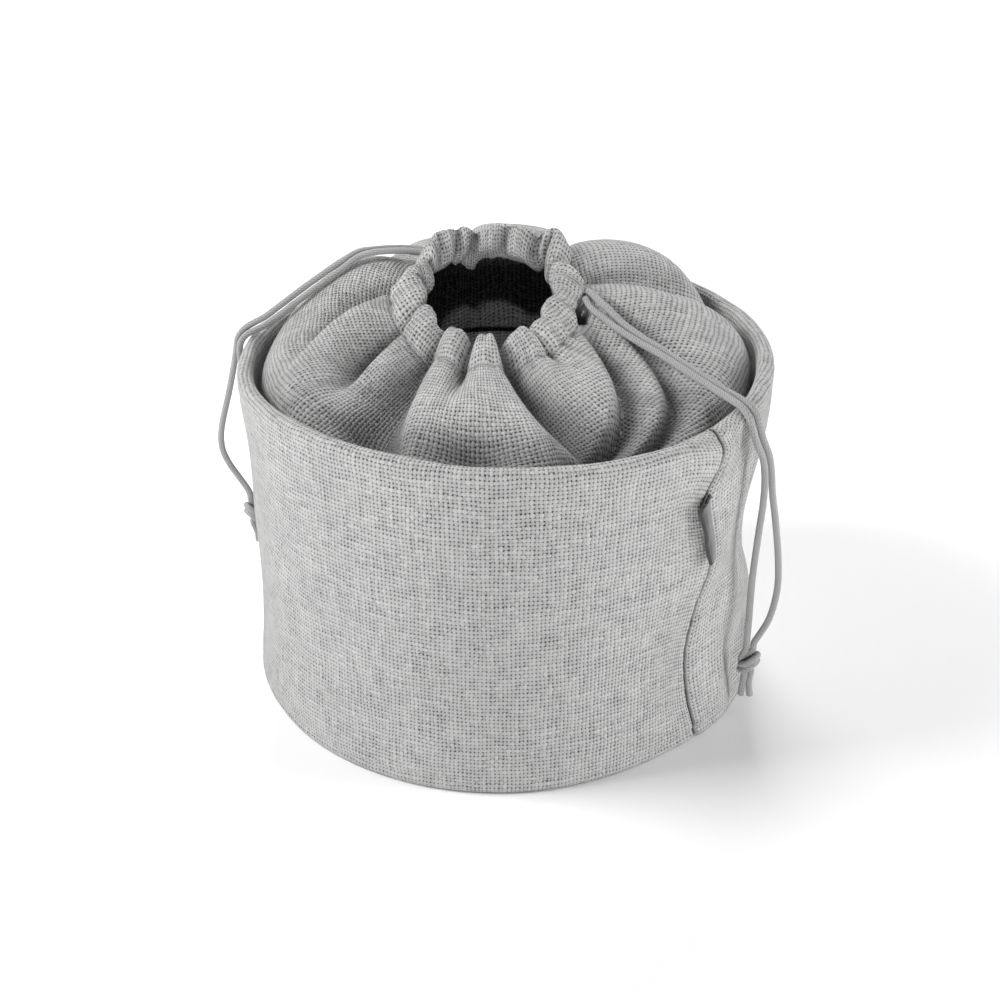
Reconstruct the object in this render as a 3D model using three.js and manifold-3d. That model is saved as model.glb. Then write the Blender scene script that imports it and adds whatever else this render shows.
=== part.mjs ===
import * as THREE from 'three';
import { mergeVertices } from 'three/addons/utils/BufferGeometryUtils.js';
import Module from 'manifold-3d';

// Vegetable storage bag: a round cloth wall with a turned-over rim, a flat base panel, and a gathered
// drawstring collar sewn inside the wall. Millimetres, +Z up. It stands on z = 0 with its axis on Z and
// its front towards -Y. Angles are in degrees, counted from +X towards +Y.

const wasm = await Module();
wasm.setup();

// Cloth and clearances
const SHEET = 2.2; // thickness of the coarse cloth

// Wall
const ROUND_STEPS = 50; // sections around the plain part of the wall
const SEAM_SIDE = { from: -54, to: -8, steps: 22 }; // closer sections where the wall is seamed and dented
const RIM_TURN = 4.2; // outside radius of the soft turn along the rim
const RIM_TURN_STEPS = 4;
const FACING_END = 126; // height at which the turned-in cloth ends inside
const FACING_LEVELS = 2;
const SEAM_DEPTH = 1.6; // groove of the side seam
const SEAM_WIDTH = 2.4;

// Base panel
const BASE_THICK = 2.4;
const BASE_GAP = 0.5; // space between the panel and the wall around it

// Collar
const COLLAR_STEPS = 122; // sections around the collar
const SEWN_STRIP = 9; // height of the strip sewn against the facing
const SEWN_GAP = 0.5; // space between that strip and the facing
const MOUTH_X = -7; // the mouth lies off the bag's axis
const MOUTH_Y = 2;
const CREST_NOTCH = 0.3; // how far a gather pulls the crest down, as a share of its depth
const FOLD_MIDDLE = 0.3; // drift from which a fold has its full depth
const FOLD_FADE = 0.4; // stretch of drift over which it runs out
const FOLD_RISE = 0.16; // stretch of drift over which a fold that starts on the slope deepens
const CREASE_SOFT = 0.25; // roundness of a fold's bottom, as a share of its half width
const CREASE_POWER = 1.7; // how steep its sides are

// Slits of the casing that let the cord out
const SLIT_LENGTH = 10;
const SLIT_WIDTH = 6;
const SLIT_DEPTH = 4.4;
const SLIT_SIDES = 12;
const SLIT_RINGS = 8;

// Drawcord
const CORD = 3;
const CORD_SIDES = 8;
const CORD_STEP = 8.6; // length of cord between its sections
const KNOT_SIDES = 8;
const KNOT_RINGS = 6;
const KNOT_WIDE = 7.6; // the knot's core
const KNOT_TALL = 11;
const TURN_RADIUS = 2.9; // a strand's turn around the core
const TURN_STEPS = 10;
const TURN_LEAN = 28;
const TURN_LIFT = 2.1;

// Seam label
const LABEL_SHEET = 1; // thickness of the ribbon
const LABEL_HALF = 1.2; // half the thickness of the folded label
const LABEL_HEIGHT = 35;
const LABEL_BOTTOM = 101;
const LABEL_STEPS = 8;
const LABEL_FOLD_STEPS = 4;

// Outline of the wall, a row for each direction: radius at the base, radius and height at the rim
const OUTLINE = [
  { angle: 0, base: 123.5, rim: 126, top: 168 },
  { angle: 45, base: 121.5, rim: 125, top: 168 },
  { angle: 90, base: 121, rim: 124.5, top: 165 },
  { angle: 135, base: 121, rim: 124.5, top: 163 },
  { angle: 180, base: 123, rim: 124.2, top: 163 },
  { angle: 225, base: 123, rim: 124.5, top: 168 },
  { angle: 270, base: 122, rim: 124.5, top: 166.5 },
  { angle: 308, base: 120.5, rim: 125, top: 164.5 },
  { angle: 335, base: 126, rim: 125.5, top: 165.5 },
];

// How far the wall has opened from its base radius to its rim radius, up its height
const FLARE = [
  { level: 0, share: 0 },
  { level: 0.16, share: -0.25 },
  { level: 0.42, share: -0.25 },
  { level: 0.66, share: 0.25 },
  { level: 0.87, share: 0.7 },
  { level: 1, share: 1 },
];

// Heights at which the wall has a ring of points, as shares of the height below the rim's turn
const WALL_LEVELS = [0, 0.07, 0.19, 0.31, 0.43, 0.54, 0.64, 0.73, 0.82, 0.91];

// Soft dents of the wall: middle, lean in degrees for each millimetre up, half sizes and depth
const DENTS = [
  { angle: 8, height: 92, lean: 0, wide: 34, tall: 36, depth: 7.5 },
  { angle: -8, height: 86, lean: 0, wide: 12, tall: 22, depth: 5.2 },
  { angle: -24, height: 106, lean: 0.08, wide: 5, tall: 28, depth: 3 },
  { angle: -27, height: 34, lean: -0.05, wide: 5, tall: 26, depth: 4.5 },
  { angle: -37, height: 62, lean: 0, wide: 6, tall: 24, depth: 2.5 },
  { angle: 118, height: 70, lean: 0.06, wide: 14, tall: 36, depth: 3 },
  { angle: -172, height: 46, lean: 0, wide: 40, tall: 34, depth: 3 },
  { angle: -172, height: 112, lean: 0, wide: 40, tall: 46, depth: 2.8 },
];

// Middle of the folded label in plan: to the left along the wall and out from it, from the seam to the fold
const LABEL_COURSE = [
  { left: 0, out: -0.25 },
  { left: 0.4, out: 0.6 },
  { left: 1.4, out: 1.7 },
  { left: 3.4, out: 2.2 },
  { left: 7, out: 2.3 },
];

// How far the free part of the label swings out from the wall, in degrees, up its height
const LABEL_SWING = [
  { share: 0, swing: 24 },
  { share: 0.25, swing: 6 },
  { share: 0.5, swing: 18 },
  { share: 0.78, swing: 2 },
  { share: 0.9, swing: 10 },
  { share: 1, swing: 30 },
];

// Course of the side seam up the wall
const SEAM = [
  { height: 0, angle: -41.4 },
  { height: 30, angle: -44.8 },
  { height: 54, angle: -46 },
  { height: 77, angle: -43.4 },
  { height: 94, angle: -40.3 },
  { height: 108, angle: -41.2 },
  { height: 125, angle: -43.7 },
  { height: 136, angle: -44.6 },
  { height: 146, angle: -41.4 },
  { height: 154, angle: -40.3 },
  { height: 162, angle: -42.6 },
  { height: 170, angle: -43 },
];

// Collar from the sewn strip to the casing's stitch line: radius, height of the outer face at the front,
// sides and back, share of the mouth's offset, and drift, the share of the way down from the crest
const COLLAR = [
  { radius: 113, front: 145, side: 146, back: 147, offset: 0, drift: 0.88 },
  { radius: 111.4, front: 153, side: 158, back: 160, offset: 0.02, drift: 0.78 },
  { radius: 105, front: 160, side: 168.5, back: 175, offset: 0.07, drift: 0.67 },
  { radius: 94.5, front: 165, side: 175.5, back: 187.5, offset: 0.2, drift: 0.55 },
  { radius: 79, front: 169, side: 181, back: 197.5, offset: 0.45, drift: 0.42 },
  { radius: 62, front: 172.5, side: 184.5, back: 202, offset: 0.72, drift: 0.29 },
  { radius: 50.5, front: 175, side: 185.5, back: 199.5, offset: 0.89, drift: 0.2 },
  { radius: 43.5, front: 176.5, side: 185.5, back: 196, offset: 0.97, drift: 0.14 },
];
const FINER = [2, 3, 4]; // rows after which the folds need another between

// Lean of the casing above the stitch line, in degrees from level, going in and up
const CASING_LEAN = { front: 27, side: 44, back: 72 };

// Section of the casing from the stitch line over the crest to the hem's edge inside, and how far each
// place follows the folds
const CASING = [
  { along: 4.5, across: 1.8, follow: 1 },
  { along: 11, across: 2.2, follow: 1 },
  { along: 16.2, across: 0.8, follow: 1 },
  { along: 18, across: -2, follow: 1 },
  { along: 16, across: -4.6, follow: 0.84 },
  { along: 9.5, across: -5.4, follow: 0.56 },
  { along: 1, across: -5, follow: 0.4 },
];
const CASING_LENGTH = 18;

// Folds of the collar: direction at the mouth and at the rim, half widths there, depth at the casing and
// on the slope (a ridge is negative), the drift at which the fold begins and has run out, and how much
// steeper its side towards larger angles is
const FOLDS = [
  { mouth: -104, rim: -106, slim: 4, broad: 5, pinch: 9, depth: 10, begins: -1, ends: 0.46, skew: 0 },
  { mouth: -131, rim: -114, slim: 8, broad: 12, pinch: 6, depth: 13, begins: -1, ends: 1, skew: 0.25 },
  { mouth: -163, rim: -128, slim: 5.5, broad: 8, pinch: 5, depth: 11, begins: -1, ends: 0.62, skew: 0.2 },
  { mouth: -79, rim: -62, slim: 6.5, broad: 10.5, pinch: 9, depth: 13, begins: -1, ends: 0.95, skew: -0.25 },
  { mouth: -46, rim: -60, slim: 5, broad: 6, pinch: 6, depth: 2, begins: -1, ends: 0.5, skew: 0 },
  { mouth: -4, rim: -97, slim: 7.5, broad: 10, pinch: 0, depth: 10, begins: 0.1, ends: 0.85, skew: -0.1 },
  { mouth: 21, rim: -78, slim: 7.5, broad: 10.5, pinch: 0, depth: 11, begins: 0.14, ends: 0.95, skew: -0.1 },
  { mouth: -143, rim: -130, slim: 9, broad: 11, pinch: 0, depth: -3, begins: -1, ends: 1, skew: 0 },
  { mouth: 8, rim: -4, slim: 9, broad: 16, pinch: -5, depth: -6, begins: -1, ends: 1.05, skew: 0 },
  { mouth: 27, rim: 18, slim: 6, broad: 7, pinch: 6, depth: 8, begins: -1, ends: 0.9, skew: 0.2 },
  { mouth: 40, rim: 33, slim: 14, broad: 15, pinch: -10, depth: -8, begins: -1, ends: 0.95, skew: 0 },
  { mouth: 52, rim: 74, slim: 6, broad: 9, pinch: 4, depth: 9, begins: -1, ends: 0.95, skew: 0.2 },
  { mouth: 98, rim: 114, slim: 6, broad: 9, pinch: 4, depth: 9, begins: -1, ends: 0.95, skew: -0.2 },
  { mouth: 127, rim: 131, slim: 9, broad: 9, pinch: 5.5, depth: 7, begins: -1, ends: 0.85, skew: 0 },
  { mouth: 150, rim: 230, slim: 7, broad: 9, pinch: 4, depth: 9, begins: -1, ends: 0.72, skew: 0.1 },
  { mouth: 170, rim: 226, slim: 9, broad: 12, pinch: -2, depth: -5, begins: -1, ends: 1, skew: 0 },
];

// Hollows of the lobes between the folds: half width in degrees and half length in drift; a swelling has
// a negative depth
const HOLLOWS = [
  { angle: -97, drift: 0.62, wide: 11, long: 0.13, depth: 9 },
  { angle: -100, drift: 0.36, wide: 12, long: 0.12, depth: -3 },
  { angle: -130, drift: 0.62, wide: 9, long: 0.12, depth: 5 },
  { angle: -66, drift: 0.62, wide: 14, long: 0.14, depth: -3 },
  { angle: -139, drift: 0.41, wide: 8, long: 0.09, depth: 4 },
  { angle: 150, drift: 0.42, wide: 14, long: 0.2, depth: -3.5 },
  { angle: 174, drift: 0.52, wide: 8, long: 0.14, depth: 4 },
];

// Where the slits lie: direction around the mouth and place up the casing from its stitch line
const SLITS = [
  { angle: 1.5, along: 2.5 },
  { angle: 128.5, along: 6.4 },
];

// Routes of the drawcord's strands: out of a slit, along the collar, over the rim and down to the knot
const CORD_RIGHT_FRONT = [
  [37.8, 0.4, 190.7], [40.3, -3.4, 187.6], [43.6, -6.6, 185.6], [47.2, -9.2, 183.8],
  [52.4, -13.8, 181.2], [61.1, -20.8, 178], [69.6, -27.9, 175.6], [77.8, -36, 173.2],
  [85.9, -44.8, 171.1], [93.7, -53.8, 169.2], [99.7, -62, 168.4], [103.3, -66.5, 167.3],
  [106.2, -69.2, 163.8], [107.9, -69.7, 158.5], [110.3, -68.9, 151.5], [113.6, -67.4, 143.8],
  [115.4, -66.4, 135], [116.2, -65.2, 121], [115.4, -63.8, 99.2], [114.8, -62.6, 77.2],
  [115.1, -61.4, 55], [115.2, -60.9, 42], [115.2, -60.8, 38.4],
];
const CORD_RIGHT_BACK = [
  [38.8, 3.9, 192.7], [41.9, 0.8, 191.4], [45, -2.7, 189.5], [48.8, -5.8, 187.2],
  [54.6, -10.9, 182.9], [63.2, -18.1, 178.8], [71.9, -25.4, 176], [80.3, -33.6, 173.4],
  [88.4, -42.5, 171.2], [96.4, -51.7, 169.2], [103.1, -59.7, 168.4], [106.6, -64, 167.3],
  [109.6, -66.2, 163.8], [111.4, -66.3, 158.5], [113.7, -65.3, 151.5], [116.9, -64, 143.4],
  [118.8, -63.4, 135], [120.2, -62.8, 124], [122.9, -62.2, 108.8], [126, -61.4, 88],
  [127, -61.2, 71], [124.6, -60.8, 54.5], [120.4, -60.5, 44.5], [118.8, -60.4, 41],
  [118.6, -60.4, 38.4],
];
const CORD_LEFT_OUTER = [
  [-30.2, 33.6, 198.8], [-32.4, 35.8, 199], [-35.8, 38, 199.2], [-40.5, 39.5, 199.4],
  [-47, 40, 199.7], [-55, 39.2, 199.8], [-61.5, 38.6, 199.5], [-68, 38.4, 198.6],
  [-77, 35, 194.6], [-86.5, 31.6, 189], [-96.5, 27.8, 182.8], [-106, 24.4, 176.5],
  [-113.5, 21.8, 171.7], [-118.8, 21.2, 169], [-123, 21.2, 166.2], [-126.5, 21.3, 161.6],
  [-128, 21.2, 155], [-129.6, 20.6, 147.5], [-133.1, 20, 133.1], [-137.3, 20, 117.9],
  [-139, 20, 109], [-138.7, 20, 101.2], [-136.2, 20, 93.9], [-132.2, 20, 86.5],
  [-128.4, 20, 79.8], [-127.1, 20, 76.2], [-127, 20, 74.1],
];
const CORD_LEFT_INNER = [
  [-32.7, 30.9, 198], [-34.7, 33, 198.5], [-37.8, 35, 199], [-42, 36.2, 199.3],
  [-47, 36.5, 199.6], [-55, 35.5, 199.8], [-61.5, 35, 199.3], [-68, 34.7, 197.4],
  [-77, 31.9, 191.7], [-86.5, 28.9, 185.6], [-96.5, 25.3, 179.2], [-106, 22, 172.8],
  [-113.5, 19.3, 168.4], [-118.3, 17.9, 166.4], [-121.8, 17.6, 164.6], [-124.9, 17.8, 160.4],
  [-125.9, 18.4, 154], [-125, 19.3, 142], [-124.4, 20, 126.6], [-124, 20, 112.3],
  [-123.7, 20, 89.9], [-123.6, 20, 74.1],
];

// The knots: middle of the core, and the two strands through it from where they meet the cord to their ends
const KNOT_RIGHT = {
  middle: [116.9, -60.4, 30.2],
  strands: [
    [
      [115.2, -60.8, 38], [115.3, -60.8, 36], [116.2, -60.6, 32],
      [116, -60.6, 26], [115, -60.4, 18], [114.6, -60.2, 10.4],
    ],
    [
      [118.6, -60.4, 38], [118.5, -60.4, 36], [117.6, -60.2, 32],
      [117.4, -60, 26], [118, -60, 18.4], [119, -60.2, 10],
    ],
  ],
};
const KNOT_LEFT = {
  middle: [-125.4, 20.2, 65.8],
  strands: [
    [
      [-127, 20, 73.7], [-126.9, 20, 71.8], [-126, 20, 68],
      [-125.6, 20.4, 62], [-125.3, 21, 54], [-125, 21.4, 48],
    ],
    [
      [-123.6, 20, 73.7], [-123.7, 20, 71.8], [-124.6, 20.2, 68],
      [-124.6, 21.4, 62], [-124, 23.6, 54.4], [-123.8, 24.4, 49],
    ],
  ],
};

const radians = (degrees) => (degrees * Math.PI) / 180;
const between = (from, to, share) => from + (to - from) * share;
const bump = (distance, width) => Math.exp(-((distance / width) ** 2));

// A soft step from 0 to 1 over a length
function ease(place, length) {
  const share = Math.min(Math.max(place / length, 0), 1);
  return share * share * (3 - 2 * share);
}

// Section of a fold: a valley with a rounded bottom, steeper on one side
function crease(distance, width, skew) {
  const place = distance / width;
  const bent = place / (1 - skew * Math.tanh(place / CREASE_SOFT));
  return Math.exp(CREASE_SOFT ** CREASE_POWER - Math.hypot(bent, CREASE_SOFT) ** CREASE_POWER);
}

// The shorter way round between two directions, in degrees
function turnBetween(angle, other) {
  return ((((angle - other + 180) % 360) + 360) % 360) - 180;
}

// Smooth value between two rows with the slopes that their neighbours give
function smooth(before, from, to, after, share) {
  const leave = (to - before) / 2;
  const arrive = (after - from) / 2;
  const bend = share * share;
  const twist = bend * share;
  return (2 * twist - 3 * bend + 1) * from + (twist - 2 * bend + share) * leave
    + (3 * bend - 2 * twist) * to + (twist - bend) * arrive;
}

// Value of a column of a table whose rows go once around
function around(table, column, angle) {
  const count = table.length;
  const place = ((angle % 360) + 360) % 360;
  let row = count - 1;
  while (table[row].angle > place) row -= 1;
  const next = (row + 1) % count;
  const end = next === 0 ? 360 : table[next].angle;
  const share = (place - table[row].angle) / (end - table[row].angle);
  const before = table[(row + count - 1) % count][column];
  const after = table[(next + 1) % count][column];
  return smooth(before, table[row][column], table[next][column], after, share);
}

// Value of a column of a table whose rows go along another column
function along(table, key, column, place) {
  const last = table.length - 1;
  let row = 0;
  while (row < last - 1 && table[row + 1][key] < place) row += 1;
  const share = Math.min(Math.max((place - table[row][key]) / (table[row + 1][key] - table[row][key]), 0), 1);
  const before = table[Math.max(row - 1, 0)][column];
  const after = table[Math.min(row + 2, last)][column];
  return smooth(before, table[row][column], table[row + 1][column], after, share);
}

// Closed loops of points, one for each direction, joined into a ring-shaped body; where the points have
// levels, each four-sided face is split along the more level of its two diagonals
function ringGeometry(loops, levels) {
  const positions = [];
  const index = [];
  const size = loops[0].length;
  const step = (loop, row, other, next) => (levels ? Math.abs(levels[loop][row] - levels[other][next]) : 0);
  loops.forEach((loop) => loop.forEach((point) => positions.push(point.x, point.y, point.z)));
  loops.forEach((loop, here) => {
    const there = (here + 1) % loops.length;
    for (let low = 0; low < size; low += 1) {
      const high = (low + 1) % size;
      const a = here * size + low;
      const b = there * size + low;
      const c = there * size + high;
      const d = here * size + high;
      if (step(here, low, there, high) <= step(there, low, here, high)) {
        index.push(a, b, c, a, c, d);
      } else {
        index.push(a, b, d, b, c, d);
      }
    }
  });
  const geometry = new THREE.BufferGeometry();
  geometry.setAttribute('position', new THREE.Float32BufferAttribute(positions, 3));
  geometry.setIndex(index);
  return geometry;
}

// A point at a direction, radius and height
function polar(angle, radius, height) {
  return new THREE.Vector3(radius * Math.cos(radians(angle)), radius * Math.sin(radians(angle)), height);
}

// Outside radius of the wall before it is dented
function roundRadius(angle, height) {
  const level = height / around(OUTLINE, 'top', angle);
  const share = along(FLARE, 'level', 'share', level);
  return between(around(OUTLINE, 'base', angle), around(OUTLINE, 'rim', angle), share);
}

// Outside radius of the wall with its dents
function dentedRadius(angle, height) {
  let radius = roundRadius(angle, height);
  DENTS.forEach((dent) => {
    const middle = dent.angle + dent.lean * (height - dent.height);
    const sideways = bump(turnBetween(angle, middle), dent.wide);
    radius -= dent.depth * sideways * bump(height - dent.height, dent.tall);
  });
  return radius;
}

// Outside radius of the wall with its dents and the groove of its seam
function wallRadius(angle, height) {
  const seam = along(SEAM, 'height', 'angle', height);
  return dentedRadius(angle, height) - SEAM_DEPTH * bump(turnBetween(angle, seam), SEAM_WIDTH);
}

// Height of the rim's turn, where the facing starts inside
function turnHeight(angle) {
  return around(OUTLINE, 'top', angle) - RIM_TURN;
}

// Inside radius of the facing, which hangs smoothly inside the wall
function facingRadius(angle, height) {
  return roundRadius(angle, height) - 2 * RIM_TURN;
}

// Section of the wall: up the outside, over the rim, down the facing, and back along the cloth's other face
function wallLoop(angle) {
  const start = turnHeight(angle);
  const middle = roundRadius(angle, start) - RIM_TURN;
  const outside = [];
  const inside = [];
  WALL_LEVELS.forEach((level) => {
    const height = level * start;
    outside.push(polar(angle, wallRadius(angle, height), height));
    inside.push(polar(angle, wallRadius(angle, height) - SHEET, height));
  });
  for (let step = 0; step <= RIM_TURN_STEPS; step += 1) {
    const swing = (Math.PI * step) / RIM_TURN_STEPS;
    const reach = Math.cos(swing);
    const rise = Math.sin(swing);
    outside.push(polar(angle, middle + RIM_TURN * reach, start + RIM_TURN * rise));
    inside.push(polar(angle, middle + (RIM_TURN - SHEET) * reach, start + (RIM_TURN - SHEET) * rise));
  }
  for (let step = 1; step <= FACING_LEVELS; step += 1) {
    const height = between(start, FACING_END, step / FACING_LEVELS);
    outside.push(polar(angle, facingRadius(angle, height), height));
    inside.push(polar(angle, facingRadius(angle, height) + SHEET, height));
  }
  return outside.concat(inside.reverse());
}

// Value between the front, the sides and the back of the bag
function frontToBack(row, angle) {
  const lean = Math.sin(radians(angle));
  const tilt = (row.back - row.front) / 2;
  const bow = (row.back + row.front) / 2 - row.side;
  return row.side + tilt * lean + bow * lean * lean;
}

// How far the folds and hollows move the collar out (positive) or in at a direction and drift
function foldShift(angle, drift) {
  let shift = 0;
  FOLDS.forEach((fold) => {
    const middle = between(fold.mouth, fold.rim, drift);
    const width = between(fold.slim, fold.broad, drift);
    const start = between(fold.pinch, fold.depth, Math.min(drift / FOLD_MIDDLE, 1));
    const left = ease(fold.ends - drift, FOLD_FADE) * ease(drift - fold.begins, FOLD_RISE);
    shift -= start * left * crease(turnBetween(angle, middle), width, fold.skew);
  });
  HOLLOWS.forEach((hollow) => {
    const sideways = bump(turnBetween(angle, hollow.angle), hollow.wide);
    shift -= hollow.depth * sideways * bump(drift - hollow.drift, hollow.long);
  });
  return shift;
}

// A row halfway to the next one
function halfRow(table, step) {
  const rows = [step - 1, step, step + 1, step + 2].map((row) => table[row]);
  const half = {};
  Object.keys(table[step]).forEach((column) => {
    half[column] = smooth(...rows.map((row) => row[column]), 0.5);
  });
  return half;
}

const COLLAR_ROWS = COLLAR.flatMap((row, step) => {
  return FINER.includes(step) ? [row, halfRow(COLLAR, step)] : [row];
});
const STITCH = COLLAR[COLLAR.length - 1]; // the row at the stitch line

// A point moved by a share of the mouth's offset
function offsetPolar(angle, radius, height, offset) {
  return polar(angle, radius, height).add(new THREE.Vector3(MOUTH_X * offset, MOUTH_Y * offset, 0));
}

// How far the folds move a place of the casing
function casingShift(angle, row) {
  return foldShift(angle, STITCH.drift * (1 - row.along / CASING_LENGTH)) * row.follow;
}

// A point of the casing, at a place up it from the stitch line and across it
function casingPoint(angle, row) {
  const lean = radians(frontToBack(CASING_LEAN, angle));
  const shift = casingShift(angle, row);
  const rise = row.along + (row.along / CASING_LENGTH) * CREST_NOTCH * shift;
  const out = row.across + shift;
  const radius = STITCH.radius - rise * Math.cos(lean) + out * Math.sin(lean);
  const height = frontToBack(STITCH, angle) + rise * Math.sin(lean) + out * Math.cos(lean);
  return offsetPolar(angle, radius, height, 1);
}

// Section of the collar: up the outer face, over the casing's crest, and down the inner face, and how far
// the folds move each of its points
function collarSection(angle) {
  const rows = [0, SEWN_STRIP].map((lift) => {
    const height = FACING_END + lift;
    return { radius: facingRadius(angle, height) - SEWN_GAP, height, offset: 0, drift: 1 };
  });
  COLLAR_ROWS.forEach((row) => {
    rows.push({ radius: row.radius, height: frontToBack(row, angle), offset: row.offset, drift: row.drift });
  });
  const outside = [];
  const inside = [];
  const shifts = [];
  rows.forEach((row, step) => {
    const before = rows[Math.max(step - 1, 0)];
    const after = rows[Math.min(step + 1, rows.length - 1)];
    const normal = new THREE.Vector2(after.height - before.height, before.radius - after.radius).normalize();
    const shift = step < 2 ? 0 : foldShift(angle, row.drift);
    const radius = row.radius + normal.x * shift;
    const height = row.height + normal.y * shift;
    outside.push(offsetPolar(angle, radius, height, row.offset));
    inside.push(offsetPolar(angle, radius - normal.x * SHEET, height - normal.y * SHEET, row.offset));
    shifts.push(shift);
  });
  const casing = CASING.map((row) => casingPoint(angle, row));
  const hem = CASING.map((row) => casingShift(angle, row));
  return {
    points: [...outside, ...casing, ...inside.reverse()],
    levels: [...shifts, ...hem, ...shifts.reverse()],
  };
}

// Directions of evenly spaced sections
function evenAngles(from, to, steps) {
  return Array.from({ length: steps }, (unused, step) => between(from, to, step / steps));
}

// Geometry with only positions, its shared points merged, as a solid that can be cut or joined
function solid(geometry) {
  const plain = geometry.clone();
  plain.deleteAttribute('normal');
  plain.deleteAttribute('uv');
  const merged = mergeVertices(plain, 1e-3);
  return new wasm.Manifold(new wasm.Mesh({
    numProp: 3,
    vertProperties: merged.attributes.position.array,
    triVerts: new Uint32Array(merged.index.array),
  }));
}

function geometryOf(body) {
  const made = body.getMesh();
  const geometry = new THREE.BufferGeometry();
  geometry.setAttribute('position', new THREE.Float32BufferAttribute(made.vertProperties, 3));
  geometry.setIndex(Array.from(made.triVerts));
  return geometry;
}

function baseGeometry() {
  const outline = WALL_ANGLES.map((angle) => {
    const radius = wallRadius(angle, BASE_THICK) - SHEET - BASE_GAP;
    return new THREE.Vector2(radius * Math.cos(radians(angle)), radius * Math.sin(radians(angle)));
  });
  return new THREE.ExtrudeGeometry(new THREE.Shape(outline), { depth: BASE_THICK, bevelEnabled: false });
}

// A body in the shape of a slit's pocket, its depth along the casing's normal
function slitBody(slit) {
  const across = along(CASING, 'along', 'across', slit.along);
  const middle = casingPoint(slit.angle, { along: slit.along, across, follow: 1 });
  const lean = radians(frontToBack(CASING_LEAN, slit.angle));
  const outward = polar(slit.angle, Math.sin(lean), Math.cos(lean));
  const sideways = polar(slit.angle + 90, 1, 0);
  const up = new THREE.Vector3().crossVectors(outward, sideways);
  const place = new THREE.Matrix4().makeBasis(sideways, up, outward).setPosition(middle);
  const geometry = new THREE.SphereGeometry(0.5, SLIT_SIDES, SLIT_RINGS);
  geometry.scale(SLIT_LENGTH, SLIT_WIDTH, 2 * SLIT_DEPTH);
  geometry.applyMatrix4(place);
  return solid(geometry);
}

function collarGeometry() {
  const sections = COLLAR_ANGLES.map(collarSection);
  const loops = sections.map((section) => section.points);
  let body = solid(ringGeometry(loops, sections.map((section) => section.levels)));
  SLITS.forEach((slit) => {
    body = body.subtract(slitBody(slit));
  });
  return geometryOf(body);
}

// A round cord along a route
function cordGeometry(route) {
  const points = route.map((point) => new THREE.Vector3(...point));
  const path = new THREE.CatmullRomCurve3(points, false, 'centripetal');
  const section = Array.from({ length: CORD_SIDES }, (unused, side) => {
    const turn = (2 * Math.PI * side) / CORD_SIDES;
    return new THREE.Vector2((CORD / 2) * Math.cos(turn), (CORD / 2) * Math.sin(turn));
  });
  return new THREE.ExtrudeGeometry(new THREE.Shape(section), {
    steps: Math.ceil(path.getLength() / CORD_STEP),
    extrudePath: path,
    bevelEnabled: false,
  });
}

// An overhand knot: a core, two turns of the strands around it, and the strands' free ends
function knotGeometry(knot) {
  const middle = new THREE.Vector3(...knot.middle);
  const core = new THREE.SphereGeometry(0.5, KNOT_SIDES, KNOT_RINGS);
  core.rotateX(Math.PI / 2);
  core.scale(KNOT_WIDE, KNOT_WIDE, KNOT_TALL);
  core.translate(middle.x, middle.y, middle.z);
  let body = solid(core);
  [1, -1].forEach((side) => {
    const turn = new THREE.TorusGeometry(TURN_RADIUS, CORD / 2, CORD_SIDES, TURN_STEPS);
    turn.rotateY(radians(TURN_LEAN * side));
    turn.translate(middle.x, middle.y, middle.z + TURN_LIFT * side);
    body = body.add(solid(turn));
  });
  knot.strands.forEach((route) => {
    body = body.add(solid(cordGeometry(route)));
  });
  return geometryOf(body);
}

// A point at a distance to the side of the label's course
function besideCourse(step, side) {
  const before = LABEL_COURSE[Math.max(step - 1, 0)];
  const after = LABEL_COURSE[Math.min(step + 1, LABEL_COURSE.length - 1)];
  const way = new THREE.Vector2(after.left - before.left, after.out - before.out).normalize();
  const here = LABEL_COURSE[step];
  return new THREE.Vector2(here.left - way.y * side, here.out + way.x * side);
}

// One face of the folded ribbon: along one layer, around the fold and back along the other
function labelFace(half) {
  const last = LABEL_COURSE.length - 1;
  const end = LABEL_COURSE[last];
  const points = LABEL_COURSE.slice(0, last).map((row, step) => besideCourse(step, half));
  for (let step = 0; step <= LABEL_FOLD_STEPS; step += 1) {
    const swing = (Math.PI * step) / LABEL_FOLD_STEPS;
    points.push(new THREE.Vector2(end.left + half * Math.sin(swing), end.out + half * Math.cos(swing)));
  }
  for (let step = last - 1; step >= 0; step -= 1) points.push(besideCourse(step, -half));
  return points;
}

// The folded label: its plan drawn up, its free part swung out, and the whole set along the seam
function labelGeometry() {
  const plan = labelFace(LABEL_HALF).concat(labelFace(LABEL_HALF - LABEL_SHEET).reverse());
  const geometry = new THREE.ExtrudeGeometry(new THREE.Shape(plan), {
    depth: LABEL_HEIGHT,
    steps: LABEL_STEPS,
    bevelEnabled: false,
  });
  const pivot = LABEL_COURSE[LABEL_COURSE.length - 2];
  const points = geometry.attributes.position;
  for (let step = 0; step < points.count; step += 1) {
    const swing = radians(along(LABEL_SWING, 'share', 'swing', points.getZ(step) / LABEL_HEIGHT));
    const height = LABEL_BOTTOM + points.getZ(step);
    const free = Math.max(points.getX(step) - pivot.left, 0);
    const left = points.getX(step) - free * (1 - Math.cos(swing));
    const out = points.getY(step) + free * Math.sin(swing);
    const angle = along(SEAM, 'height', 'angle', height);
    const point = polar(angle, dentedRadius(angle, height) + out, height);
    point.addScaledVector(polar(angle - 90, 1, 0), left);
    points.setXYZ(step, point.x, point.y, point.z);
  }
  return geometry;
}

const WALL_ANGLES = evenAngles(SEAM_SIDE.from, SEAM_SIDE.to, SEAM_SIDE.steps)
  .concat(evenAngles(SEAM_SIDE.to, SEAM_SIDE.from + 360, ROUND_STEPS));
const COLLAR_ANGLES = evenAngles(0, 360, COLLAR_STEPS);

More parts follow.
